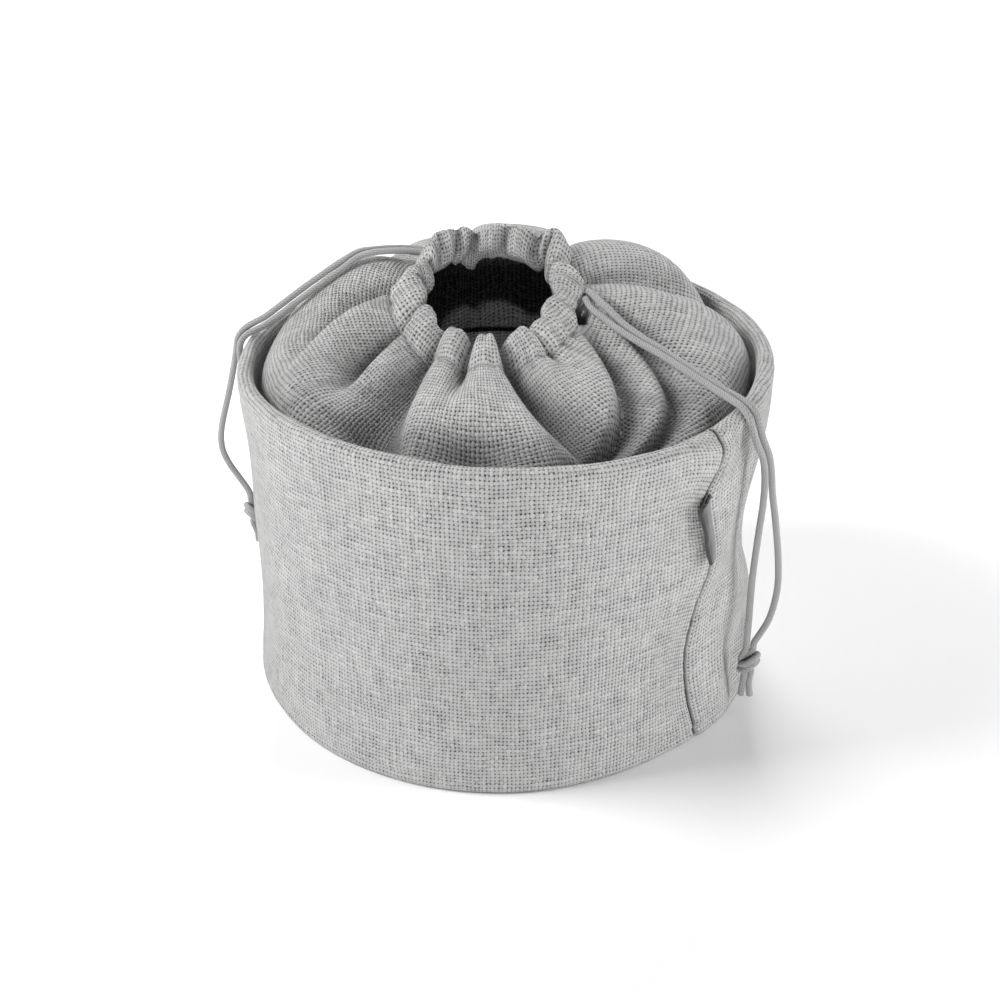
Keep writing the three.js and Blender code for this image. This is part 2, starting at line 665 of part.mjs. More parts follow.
const bag = new THREE.Group();

function add(name, geometry, colour, roughness) {
  const material = new THREE.MeshStandardMaterial({ color: colour, roughness, metalness: 0 });
  const mesh = new THREE.Mesh(geometry, material);
  mesh.name = name;
  bag.add(mesh);
  return mesh;
}

const CLOTH_GREY = 0xb4b4b2;
const CLOTH_ROUGHNESS = 0.9;
const LABEL_GREY = 0x6e6e6e;
const LABEL_ROUGHNESS = 0.7;
const CORD_GREY = 0x969696;
const CORD_ROUGHNESS = 0.8;

add('wall', ringGeometry(WALL_ANGLES.map(wallLoop)), CLOTH_GREY, CLOTH_ROUGHNESS);
add('base', baseGeometry(), CLOTH_GREY, CLOTH_ROUGHNESS);
add('collar', collarGeometry(), CLOTH_GREY, CLOTH_ROUGHNESS);
add('side_label', labelGeometry(), LABEL_GREY, LABEL_ROUGHNESS);
add('cord_right_front', cordGeometry(CORD_RIGHT_FRONT), CORD_GREY, CORD_ROUGHNESS);
add('cord_right_back', cordGeometry(CORD_RIGHT_BACK), CORD_GREY, CORD_ROUGHNESS);
add('cord_left_outer', cordGeometry(CORD_LEFT_OUTER), CORD_GREY, CORD_ROUGHNESS);
add('cord_left_inner', cordGeometry(CORD_LEFT_INNER), CORD_GREY, CORD_ROUGHNESS);
add('knot_right', knotGeometry(KNOT_RIGHT), CORD_GREY, CORD_ROUGHNESS);
add('knot_left', knotGeometry(KNOT_LEFT), CORD_GREY, CORD_ROUGHNESS);

export default bag;
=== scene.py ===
"""Round cloth storage bag with a gathered drawstring collar, dressed over its solids.

The frame is the part's own: +Z up, the bag's axis on Z, its front towards -Y. The tables are in
millimetres and degrees, angles counted from +X towards +Y, and the meshes are made in metres.
"""

import math

import bpy
import numpy as np
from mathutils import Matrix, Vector


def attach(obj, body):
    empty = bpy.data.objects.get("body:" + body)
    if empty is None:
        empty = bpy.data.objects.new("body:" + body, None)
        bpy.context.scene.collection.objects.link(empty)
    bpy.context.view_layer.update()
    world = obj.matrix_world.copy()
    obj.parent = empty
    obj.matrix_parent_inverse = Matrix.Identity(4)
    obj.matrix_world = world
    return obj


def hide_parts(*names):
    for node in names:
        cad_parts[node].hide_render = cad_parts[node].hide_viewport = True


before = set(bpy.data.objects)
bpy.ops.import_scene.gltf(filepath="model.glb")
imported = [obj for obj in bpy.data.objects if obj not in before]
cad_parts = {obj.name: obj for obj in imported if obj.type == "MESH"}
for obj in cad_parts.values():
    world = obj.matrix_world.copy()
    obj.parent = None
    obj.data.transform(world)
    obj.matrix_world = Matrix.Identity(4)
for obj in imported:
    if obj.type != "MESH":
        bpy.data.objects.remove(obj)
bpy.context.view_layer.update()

MM = 0.001

# Camera: the photograph's place and angle, with its lens
CAMERA_PLACE = (-0.00113, -0.6958, 0.4788)
CAMERA_AIM = (-0.00113, 0.0, 0.08401)
CAMERA_LENS = 58.65
CAMERA_SENSOR = 36.0

SHEET = 2.2  # thickness of the cloth

# Outline of the wall: angle, radius at the base, radius at the rim, height of the rim
OUTLINE = [
    (0, 123.5, 126, 168),
    (45, 121.5, 125, 168),
    (90, 121, 124.5, 165),
    (135, 121, 124.5, 163),
    (180, 123, 124.2, 163),
    (225, 123, 124.5, 168),
    (270, 122, 124.5, 166.5),
    (308, 120.5, 125, 164.5),
    (335, 126, 125.5, 165.5),
]

# Level up the wall, and how far it has opened from its base radius to its rim radius
FLARE = [(0, 0), (0.16, -0.25), (0.42, -0.25), (0.66, 0.25), (0.87, 0.7), (1, 1)]

# Soft dents of the wall: angle, height, lean in degrees a millimetre, half width, half height, depth
DENTS = [
    (8, 92, 0, 34, 36, 7.5),
    (-8, 86, 0, 12, 22, 5.2),
    (-24, 106, 0.08, 5, 28, 3),
    (-27, 34, -0.05, 5, 26, 4.5),
    (-37, 62, 0, 6, 24, 2.5),
    (118, 70, 0.06, 14, 36, 3),
    (-172, 46, 0, 40, 34, 3),
    (-172, 112, 0, 40, 46, 2.8),
]

# Finer creases of the wall, in the same columns; a ridge has a negative depth
WALL_CREASES = [
    (-30, 128, 0.1, 1.6, 22, 0.9),
    (-21, 118, 0.12, 2.2, 26, 1.1),
    (-31, 44, -0.12, 1.8, 18, 1.2),
    (-34, 30, 0.1, 1.6, 16, -0.8),
    (-20, 52, 0.14, 3, 24, 1.2),
    (-128, 60, 0.22, 3.5, 26, 0.7),
    (-121, 40, 0.2, 3, 22, -0.5),
    (-143, 92, -0.12, 4, 30, 0.7),
    (-70, 120, 0.1, 6, 40, 0.6),
    (-96, 50, -0.06, 8, 36, 0.6),
    (60, 60, 0.1, 4, 30, 1),
    (96, 104, -0.1, 5, 30, 0.9),
    (150, 58, 0.12, 4, 32, 1),
]

# Course of the side seam: height, angle
SEAM = [
    (0, -41.4), (30, -44.8), (54, -46), (77, -43.4), (94, -40.3), (108, -41.2),
    (125, -43.7), (136, -44.6), (146, -41.4), (154, -40.3), (162, -42.6), (170, -43),
]
SEAM_MIDDLE = -42.8
SEAM_PULL = 8.0  # how far to each side the cloth follows the seam's waves, in degrees
RIM_TURN = 4.2  # outside radius of the soft turn along the rim
FACING_END = 126  # height of the lower edge of the cloth turned in at the rim
BASE_THICK = 2.4
BASE_GAP = 0.5  # between the base panel and the wall

# Soft edge of the base panel: share of its radius, how far its faces draw in there
BASE_EDGE = [(0, 0), (0.2, 0), (0.4, 0), (0.6, 0), (0.75, 0), (0.88, 0), (0.95, 0.05), (0.985, 0.3), (1, 0.9)]

# Collar: radius, height at the front, sides and back, share of the mouth's offset, drift from the crest
COLLAR = [
    (113, 145, 146, 147, 0, 0.88),
    (111.4, 153, 158, 160, 0.02, 0.78),
    (105, 160, 168.5, 175, 0.07, 0.67),
    (94.5, 165, 175.5, 187.5, 0.2, 0.55),
    (79, 169, 181, 197.5, 0.45, 0.42),
    (62, 172.5, 184.5, 202, 0.72, 0.29),
    (50.5, 175, 185.5, 199.5, 0.89, 0.2),
    (43.5, 176.5, 185.5, 196, 0.97, 0.14),
]
SEWN_STRIP = 9  # height of the strip by which the collar is sewn to the wall
SEWN_GAP = 0.5
MOUTH_X = -7  # the mouth's middle, from the bag's axis
MOUTH_Y = 2
CREST_NOTCH = 0.3  # how far a fold takes the casing's crest down
HEM_EASE = 0.6  # how much less the hem inside follows the folds
FOLD_MIDDLE = 0.3  # drift at which a fold has its depth on the slope
FOLD_FADE = 0.4  # drift over which a fold runs out
FOLD_RISE = 0.16  # drift over which it begins
CREASE_SOFT = 0.25  # roundness of a valley's bottom, as a share of its half width
CREASE_POWER = 1.7  # fullness of the cloth beside a valley

# Casing: place up it from the stitch line and across it, over the crest to the hem's edge inside
CASING = [(0, 0), (4.5, 1.8), (11, 2.2), (16.2, 0.8), (18, -2), (16, -4.6), (9.5, -5.4), (1, -5)]
CASING_LENGTH = 18
HEM_ROW = len(CASING) - 1
CASING_LEAN = (27, 44, 72)  # degrees from level at the front, sides and back

# Folds of the collar: angle at the mouth and at the rim, half widths there, depth at the casing and on the
# slope, the drift at which it begins and has run out, and how much steeper its side towards larger angles
# is; a ridge has a negative depth
FOLDS = [
    (-104, -106, 4, 5, 9, 10, -1, 0.46, 0),
    (-131, -114, 8, 12, 7, 15, -1, 1.0, 0.5),
    (-163, -128, 4.5, 7, 5, 15, -1, 0.62, 0.3),
    (-79, -62, 6.5, 10.5, 9, 15, -1, 0.95, -0.5),
    (-46, -60, 5, 6, 6, 2, -1, 0.5, 0),
    (-4, -97, 6.5, 9, 0, 12, 0.1, 0.9, -0.45),
    (21, -78, 6.5, 9, 0, 11, 0.14, 1.05, -0.3),
    (-143, -130, 9, 11, 0, -3, -1, 1.0, 0),
    (8, -4, 9, 16, -5, -6, -1, 1.05, 0),
    (27, 18, 6, 7, 6, 8, -1, 0.9, 0.2),
    (40, 33, 16, 15, -9, -8, -1, 0.95, 0),
    (52, 74, 6, 9, 2, 9, -1, 0.95, 0.3),
    (98, 114, 6, 9, 2, 9, -1, 0.95, -0.3),
    (130, 131, 9, 9, -3, 7, -1, 0.85, 0),
    (150, 230, 7, 8, 4, 13, -1, 0.72, 0.3),
    (170, 226, 9, 12, -2, -5, -1, 1.0, 0),
]

# Ruffles inside the casing: angle of a crease at the crest and at the hem, half width, depth, and the share
# of it by which the crest dips
RUFFLES = [
    (24, 22, 4, 5, 0.6),
    (38, 44, 3, 4.5, 0),
    (53, 49, 5, 6.5, 1),
    (72, 80, 4.5, 5, 0.1),
    (97, 104, 5, 6.5, 1),
    (112, 116, 3.5, 5.5, 0.25),
    (128, 134, 3.5, 4, 0.1),
    (146, 148, 5, 5.5, 1),
    (170, 172, 5, 4, 1),
    (-166, -166, 5, 3.5, 1),
    (-141, -146, 5, 3, 1),
    (-35, -32, 5, 3.5, 1),
    (-8, -4, 5, 3.5, 1),
]
RUFFLE_BEGINS = (-0.5, 1.2)  # rows from the crest over which they begin
RUFFLE_PUFF = 4.6  # how far the cloth swells between them
RUFFLE_PUFF_PLACE = 9
RUFFLE_PUFF_WIDE = 7
RUFFLE_DIP = 0.7  # how far the crest follows them down
RUFFLE_DIP_WIDE = 5
CASING_SHOWN = 0.58  # share of the gathered cloth that shows on the casing
FOLD_SHADE = 0.52  # painted shade at the bottom of a fold: how much darker the cloth is there
FOLD_SHADE_DEPTHS = (2, 13)  # depths of a fold from which and at which it is
RUFFLE_SHADE_DEPTHS = (1, 6)
RIM_SHADE = 0.42  # painted shade on the cloth that goes down inside the rim at the front: how much darker it is
RIM_SHADE_DRIFTS = (0.42, 0.62)
RIM_SHADE_MIDDLE = -95
RIM_SHADE_WIDE = 60
RUFFLE_FADE = 0.7  # how much of them is gone at the hem
RUFFLE_FADE_ROWS = 1.2

# Hollows of the lobes: angle, drift, half width, half length in drift, depth; a swelling has a negative depth
HOLLOWS = [
    (-97, 0.62, 11, 0.13, 9),
    (-100, 0.36, 12, 0.12, -3),
    (-130, 0.62, 9, 0.12, 5),
    (-66, 0.62, 14, 0.14, -3),
    (-139, 0.41, 8, 0.09, 4),
    (150, 0.42, 14, 0.2, -3.5),
    (174, 0.52, 8, 0.14, 4),
]

# Slits of the casing: angle, place up the casing
SLITS = [(-7, 0.5), (128.5, 6.4)]
SLIT_LENGTH = 15
SLIT_WIDTH = 8
SLIT_DEPTH = 7
SLIT_EDGE = (1.05, 0.7)  # where its pocket begins and is at its depth, in half sizes of the slit
SLIT_LIP = 0.5  # height of the lip around it
SLIT_LIP_PLACE = 1.25
SLIT_LIP_WIDE = 0.2
SLIT_SHADE = 0.85  # painted shade inside it: how much darker it is there
SLIT_SHADE_EDGE = (1.0, 0.75)

# Drawcord strands from a slit over the rim to the knot
CORD = 3.0
RIGHT_FRONT = [
    (37.8, 0.4, 190.7), (40.3, -3.4, 187.6), (43.6, -6.6, 185.6), (47.2, -9.2, 183.8), (52.4, -13.8, 181.2),
    (61.1, -20.8, 178), (69.6, -27.9, 175.6), (77.8, -36, 173.2), (85.9, -44.8, 171.1), (93.7, -53.8, 169.2),
    (99.7, -62, 168.4), (103.3, -66.5, 167.3), (106.2, -69.2, 163.8), (107.9, -69.7, 158.5),
    (110.3, -68.9, 151.5), (113.6, -67.4, 143.8), (115.4, -66.4, 135), (116.2, -65.2, 121),
    (115.4, -63.8, 99.2), (114.8, -62.6, 77.2), (115.1, -61.4, 55), (115.2, -60.9, 42), (115.2, -60.8, 38.4),
]
RIGHT_BACK = [
    (38.8, 3.9, 192.7), (41.9, 0.8, 191.4), (45, -2.7, 189.5), (48.8, -5.8, 187.2), (54.6, -10.9, 182.9),
    (63.2, -18.1, 178.8), (71.9, -25.4, 176), (80.3, -33.6, 173.4), (88.4, -42.5, 171.2),
    (96.4, -51.7, 169.2), (103.1, -59.7, 168.4), (106.6, -64, 167.3), (109.6, -66.2, 163.8),
    (111.4, -66.3, 158.5),
    (113.7, -65.3, 151.5), (116.9, -64, 143.4), (118.8, -63.4, 135), (120.2, -62.8, 124),
    (122.9, -62.2, 108.8), (126, -61.4, 88), (127, -61.2, 71), (124.6, -60.8, 54.5), (120.4, -60.5, 44.5),
    (118.8, -60.4, 41), (118.6, -60.4, 38.4),
]
LEFT_OUTER = [
    (-30.2, 33.6, 198.8), (-32.4, 35.8, 199), (-35.8, 38, 199.2), (-40.5, 39.5, 199.4), (-47, 40, 199.7),
    (-55, 39.2, 199.8), (-61.5, 38.6, 199.5), (-68, 38.4, 198.6), (-77, 35, 194.6), (-86.5, 31.6, 189),
    (-96.5, 27.8, 182.8), (-106, 24.4, 176.5), (-113.5, 21.8, 171.7), (-118.8, 21.2, 169),
    (-123, 21.2, 166.2),
    (-126.5, 21.3, 161.6), (-128, 21.2, 155), (-129.6, 20.6, 147.5), (-133.1, 20, 133.1), (-137.3, 20, 117.9),
    (-139, 20, 109), (-138.7, 20, 101.2), (-136.2, 20, 93.9), (-132.2, 20, 86.5), (-128.4, 20, 79.8),
    (-127.1, 20, 76.2), (-127, 20, 74.1),
]
LEFT_INNER = [
    (-32.7, 30.9, 198), (-34.7, 33, 198.5), (-37.8, 35, 199), (-42, 36.2, 199.3), (-47, 36.5, 199.6),
    (-55, 35.5, 199.8), (-61.5, 35, 199.3), (-68, 34.7, 197.4), (-77, 31.9, 191.7), (-86.5, 28.9, 185.6),
    (-96.5, 25.3, 179.2), (-106, 22, 172.8), (-113.5, 19.3, 168.4), (-118.3, 17.9, 166.4),
    (-121.8, 17.6, 164.6), (-124.9, 17.8, 160.4), (-125.9, 18.4, 154), (-125, 19.3, 142), (-124.4, 20, 126.6),
    (-124, 20, 112.3), (-123.7, 20, 89.9), (-123.6, 20, 74.1),
]
CORD_STRANDS = 8  # strands laid up round the cord
CORD_LAY = 11.5  # length in which a strand goes once round
CORD_GROOVE = 0.24  # depth of the grooves between strands, as a share of the radius
CORD_GROOVE_SHARP = 1.5
CORD_END = 0.3  # how much thinner the cut end is
CORD_END_LENGTH = 0.5
CORD_SIDES = 32
CORD_STEP = 0.45  # length of cord between its sections
ROUTE_STEPS = 24  # points between two places of a route

# Seam label: its plan from the seam to the fold, to the left along the wall and out from it, and how its free
# part swings out in degrees, by the share of its height
LABEL_COURSE = [(0, -0.25), (0.4, 0.6), (1.4, 1.7), (3.4, 2.2), (7, 2.3)]
LABEL_SWING = [(0, 24), (0.25, 6), (0.5, 18), (0.78, 2), (0.9, 10), (1, 30)]
LABEL_HALF = 1.2  # half its thickness
LABEL_SHEET = 0.8  # thickness of the ribbon
LABEL_HEIGHT = 35
LABEL_BOTTOM = 101  # height of its lower edge
LABEL_SHADE = 0.72  # painted shade towards its fold: how much darker it is there
LABEL_SHADE_PLACES = (3.2, 5.6)

# Fineness and relief of the wall, with its sections from the seam around: from, to, step in degrees
SECTION_STEPS = [(0, 8, 0.16), (8, 36, 0.5), (36, 346, 0.75), (346, 352, 0.5), (352, 360, 0.16)]
WALL_SECTIONS = np.concatenate([np.arange(*row) for row in SECTION_STEPS])
WALL_ROWS = 58
TURN_ROWS = 13
FACING_ROWS = 8
WALL_MEAN = 124.0  # radius by which the wall's cloth is laid out
RIM_FULLNESS = 0.85  # below 1 the turn of the rim is squarer than a circle
SEAM_LINE = 1.5  # depth of the sewn line itself
SEAM_SLOT = 0.42  # half its width, in degrees
SEAM_DARK = 0.95  # how much darker it is
SEAM_HOLLOW = 0.4  # depth of the soft hollow around it
SEAM_HOLLOW_WIDE = 2.0
SEAM_BULK = 0.4  # the allowance under the cloth on one side of it
SEAM_BULK_PLACE = 2.6
SEAM_BULK_WIDE = 1.3
SEAM_ROLL = 0.3  # the soft roll on its other side
SEAM_ROLL_PLACE = -1.5
SEAM_ROLL_WIDE = 0.9
SEAM_PUCKER = 0.22  # the waves that its stitches pull beside it
SEAM_PUCKER_RATE = 0.78  # in radians a millimetre
SEAM_PUCKER_PLACE = 1.1
SEAM_PUCKER_WIDE = 0.8
BASE_CREASE = 0.7  # where the base panel is sewn in
BASE_CREASE_HEIGHT = 5.5
BASE_CREASE_WIDE = 1.6
FOOT_ROUND = 1.6  # how far the wall's foot is rounded in
FOOT_HEIGHT = 3.5
HEM_CREASE = 0.35  # where the turned edge is sewn down, under the rim
HEM_CREASE_WIDE = 1.5
HEM_PLACE = 10

# Uneven waves around the bag: count, size, phase in degrees
WALL_WAVES = [(7, 0.3, 20), (11, 0.22, 130), (17, 0.15, 250)]
RIM_WAVES = [(9, 0.25, 40), (14, 0.2, 200), (23, 0.12, 80)]
PUCKERS = [(31, 0.45, 10), (43, 0.35, 120), (58, 0.25, 250), (19, 0.3, 70)]
CLOTH_WAVES = [(5, 0.3, 200), (9, 0.35, 15), (13, 0.25, 310)]
CREST_WAVES = [(37, 0.3, 50), (26, 0.35, 160), (53, 0.2, 15)]
CLOTH_WAVE_RATE = 0.09  # of the collar's waves up its slope, in radians a millimetre
CLOTH_WAVE_DRIFT = 0.5
CLOTH_WAVE_LONG = 0.3

# Slanting waves of the wall: radians a millimetre of height, count around, phase in radians
CROSS_WAVES = [(0.062, 5, 0), (0.11, -9, 2)]
CROSS_SIZE = 0.22
WAVES_FROM_BASE = 25  # height over which the wall's waves begin
WAVES_TO_RIM = 30

# Fineness and relief of the collar, in rows of its tables
COLLAR_SECTIONS = np.arange(0, 360, 0.5)
STITCH_ROW = 9.0  # the casing's stitch line, at the end of the slope
CREST_ROW = 4.0
SLOPE_PLACES = np.concatenate([np.linspace(0, 2, 7)[:-1], np.linspace(2, STITCH_ROW, 50)])
CASING_PLACES = np.linspace(0, HEM_ROW, 29)[1:]
SLOPE_STEPS = 181  # points by which the slope's length is measured
WEAVE_ROW = 38  # the row along which the cloth is laid out
COLLAR_CLOTH = 726.0  # length of the cloth around the collar
PUCKER_WIDE = 8  # how far from the stitch line its puckers reach
CREST_WAVE_PLACE = 15
CREST_WAVE_WIDE = 6
CASING_BLEND = 6  # length in which the casing takes its own direction
MOUTH_BLEND = 4  # length in which it takes the mouth's whole offset
STITCH_GROOVE = 0.8
STITCH_RADIUS = COLLAR[-1][0]
STITCH_STEP = 4.0  # from one stitch of the casing's seam to the next
STITCH_SIZE = (0.75, 0.6, 2.9)  # its width, height and length
STITCH_REACH = 0.6  # how far along the line to each side its direction is taken
LABEL_ROWS = 49

# Weave: how far the threads wander and by what pattern, their uneven spinning and fuzz, and its relief
SWAY = 0.9
SWAY_SCALE = 55.0
SLUB_STRETCH = 0.16
SLUB_SWAY = 0.4
FUZZ_SCALE = 2600.0
WEAVE_RELIEF = 0.0007
FIBRE_RELIEF = 0.00012
CORD_PATCH_SCALE = 70.0
RIBBON_RIB = 0.0007
RIBBON_FLOAT = 0.0011
RIBBON_RELIEF = 0.00008
RIBBON_PATCH_SCALE = 400.0

# Studio lights: name, place, power
LIGHTS = [
    ("left_high", (-1.0, -0.1, 1.0), 20),
    ("left_low", (-1.3, -0.1, 0.35), 3),
    ("right_high", (1.0, -0.1, 1.0), 4),
    ("right_low", (1.3, -0.1, 0.25), 13),
    ("front_low", (0.0, -1.7, 0.1), 27),
    ("back_high", (0.0, 1.0, 1.0), 14),
]
LIGHT_SIZE = 0.6
LIGHT_AIM = (0, 0, 0.1)
MOUTH_LIGHT_PLACE = (-0.01, -0.9, 0.85)
MOUTH_LIGHT_AIM = (-0.007, 0.004, 0.185)
MOUTH_LIGHT_CONE = 3.6
MOUTH_LIGHT_POWER = 32
MOUTH_LIGHT_SIZE = 0.05
SKY_LIGHT = 0.08
SKY_SEEN = 1.0
FLOOR_SIZE = 8
FLOOR_TONE = (0.86, 0.86, 0.86, 1)
FLOOR_ROUGHNESS = 0.9
FLOOR_GLOW = 0.8
FLOOR_GLOW_REACH = (0.8, 1.5)  # distances at which the glow that whitens the far floor begins and is full


def column(table, index):
    return np.array([row[index] for row in table], float)


def bump(distance, width):
    return np.exp(-((distance / width) ** 2))


def crease(distance, width, skew):
    """Section of a fold: a valley with a rounded bottom, steeper on one side."""
    place = distance / width
    place = place / (1 - skew * np.tanh(place / CREASE_SOFT))
    return np.exp(CREASE_SOFT**CREASE_POWER - np.hypot(place, CREASE_SOFT) ** CREASE_POWER)


def ease(low, high, value):
    share = np.clip((value - low) / (high - low), 0, 1)
    return share * share * (3 - 2 * share)


def turn_between(angle, other):
    return np.mod(angle - other + 180, 360) - 180


def hermite(before, start, end, after, share):
    """Smooth value between two rows with the slopes that their neighbours give."""
    leave = (end - before) / 2
    arrive = (after - start) / 2
    bend = share**2
    twist = share**3
    return (
        (2 * twist - 3 * bend + 1) * start
        + (twist - 2 * bend + share) * leave
        + (3 * bend - 2 * twist) * end
        + (twist - bend) * arrive
    )


def around(table, index, angle):
    """Value of a column of a table whose rows go once around."""
    keys = column(table, 0)
    values = column(table, index)
    place = np.mod(angle, 360)
    row = np.searchsorted(keys, place, side="right") - 1
    after = (row + 1) % len(keys)
    end = np.where(after == 0, 360, keys[after])
    share = (place - keys[row]) / (end - keys[row])
    return hermite(values[row - 1], values[row], values[after], values[(after + 1) % len(keys)], share)


def along(table, index, place):
    """Value of a column of a table whose rows go along its first column."""
    keys = column(table, 0)
    values = column(table, index)
    last = len(keys) - 1
    row = np.clip(np.searchsorted(keys, place) - 1, 0, last - 1)
    share = np.clip((place - keys[row]) / (keys[row + 1] - keys[row]), 0, 1)
    before = values[np.maximum(row - 1, 0)]
    after = values[np.minimum(row + 2, last)]
    return hermite(before, values[row], values[row + 1], after, share)


def through(values, place):
    """Smooth values between the rows of the last axis, with place counted in rows."""
    last = values.shape[-1] - 1
    row = np.clip(np.floor(place).astype(int), 0, last - 1)
    before = values[..., np.maximum(row - 1, 0)]
    after = values[..., np.minimum(row + 2, last)]
    return hermite(before, values[..., row], values[..., row + 1], after, place - row)


def ripple(angle, waves):
    """An uneven wave around the bag, from rows of count, size and phase."""
    return sum(size * np.sin(np.radians(count * angle + phase)) for count, size, phase in waves)


def polar(angle, radius, height):
    turn = np.radians(angle)
    return np.stack(np.broadcast_arrays(radius * np.cos(turn), radius * np.sin(turn), height), axis=-1)


def lengths(points):
    """Running length along rows of points."""
    steps = np.linalg.norm(np.diff(points, axis=-2), axis=-1)
    return np.concatenate([np.zeros(steps.shape[:-1] + (1,)), np.cumsum(steps, axis=-1)], axis=-1)


def piece(name, points, faces, laid, tone, finish):
    """A piece in metres from points in millimetres, with its cloth layout and a tone at each point."""
    mesh = bpy.data.meshes.new(name)
    mesh.from_pydata((np.asarray(points) * MM).tolist(), [], [list(map(int, face)) for face in faces])
    mesh.polygons.foreach_set("use_smooth", [True] * len(mesh.polygons))
    layer = mesh.uv_layers.new(name="UVMap")
    layer.data.foreach_set("uv", np.asarray(laid, np.float32).ravel())
    shade = mesh.attributes.new("tone", "FLOAT", "POINT")
    shade.data.foreach_set("value", np.asarray(tone, np.float32).ravel())
    mesh.materials.append(finish)
    made = bpy.data.objects.new(name, mesh)
    bpy.context.scene.collection.objects.link(made)
    return made


def strip_corners(sections, size):
    """Corners of the faces between rows of points, as (section, place)."""
    here, low = (axis.ravel() for axis in np.meshgrid(np.arange(sections), np.arange(size), indexing="ij"))
    return [(here, low), (here + 1, low), (here + 1, low + 1), (here, low + 1)]


def ring_sheet(name, loops, across, up, tone, finish, gather):
    """A closed sheet from loops of points set once around; gather is how much of each row's cloth shows."""
    sections, size = loops.shape[:2]
    corners = strip_corners(sections, size)
    faces = np.stack([(a % sections) * size + b % size for a, b in corners], axis=1)
    shown = gather[corners[0][1] % size]
    laid = np.stack([np.stack([across[a] * shown, up[a % sections, b]], axis=-1) for a, b in corners], axis=1)
    return piece(name, loops.reshape(-1, 3), faces, laid * MM, tone, finish)


# Finishes


class Yarn:
    """A value in a finish: an output of one of its nodes, with arithmetic that adds the nodes for it."""

    def __init__(self, tree, socket=None):
        self.tree = tree
        self.socket = socket

    def node(self, kind, settings, sockets, output=0):
        made = self.tree.nodes.new(kind)
        for key, value in settings.items():
            setattr(made, key, value)
        for key, value in sockets.items():
            if isinstance(value, Yarn):
                self.tree.links.new(value.socket, made.inputs[key])
            else:
                made.inputs[key].default_value = value
        return Yarn(self.tree, made.outputs[output])

    def math(self, operation, first, second=0.0):
        return self.node("ShaderNodeMath", {"operation": operation}, {0: first, 1: second})

    def __add__(self, other):
        return self.math("ADD", self, other)

    __radd__ = __add__

    def __sub__(self, other):
        return self.math("SUBTRACT", self, other)

    def __rsub__(self, other):
        return self.math("SUBTRACT", other, self)

    def __mul__(self, other):
        return self.math("MULTIPLY", self, other)

    __rmul__ = __mul__

    def __truediv__(self, other):
        return self.math("DIVIDE", self, other)

    def call(self, operation, other=0.0):
        return self.math(operation, self, other)

    def rise(self, low, high):
        """A soft step from 0 to 1."""
        levels = {"Value": self, "From Min": low, "From Max": high}
        return self.node("ShaderNodeMapRange", {"interpolation_type": "SMOOTHSTEP"}, levels)

    def noise(self, scale):
        """A soft noise over this layout."""
        return self.node("ShaderNodeTexNoise", {"noise_dimensions": "2D"}, {"Vector": self, "Scale": scale})

    def tint(self, colour):
        """A colour made lighter or darker by this value."""
        return self.node("ShaderNodeVectorMath", {"operation": "SCALE"}, {"Vector": colour, "Scale": self})


def finish_tree(name, roughness, sheen):
    """A new finish with its shader, and the start of its pattern."""
    made = bpy.data.materials.new(name)
    made.use_nodes = True
    made.node_tree.nodes.clear()
    start = Yarn(made.node_tree)
    shader = made.node_tree.nodes.new("ShaderNodeBsdfPrincipled")
    shader.inputs["Roughness"].default_value = roughness
    shader.inputs["Specular IOR Level"].default_value = 0.2
    shader.inputs["Sheen Weight"].default_value = sheen
    shader.inputs["Sheen Roughness"].default_value = 0.5
    end = made.node_tree.nodes.new("ShaderNodeOutputMaterial")
    made.node_tree.links.new(shader.outputs[0], end.inputs["Surface"])
    return made, start, shader


def layout(start):
    laid = start.node("ShaderNodeUVMap", {"uv_map": "UVMap"}, {})
    split = start.node("ShaderNodeSeparateXYZ", {}, {"Vector": laid})
    return laid, split, Yarn(start.tree, split.socket.node.outputs[1])


def tone_of(start):
    return start.node("ShaderNodeAttribute", {"attribute_name": "tone"}, {}, output=2)


def set_shader(start, shader, colour, height, depth):
    start.tree.links.new(colour.socket, shader.inputs["Base Color"])
    sockets = {"Strength": 1.0, "Distance": depth, "Height": height}
    start.tree.links.new(start.node("ShaderNodeBump", {}, sockets).socket, shader.inputs["Normal"])


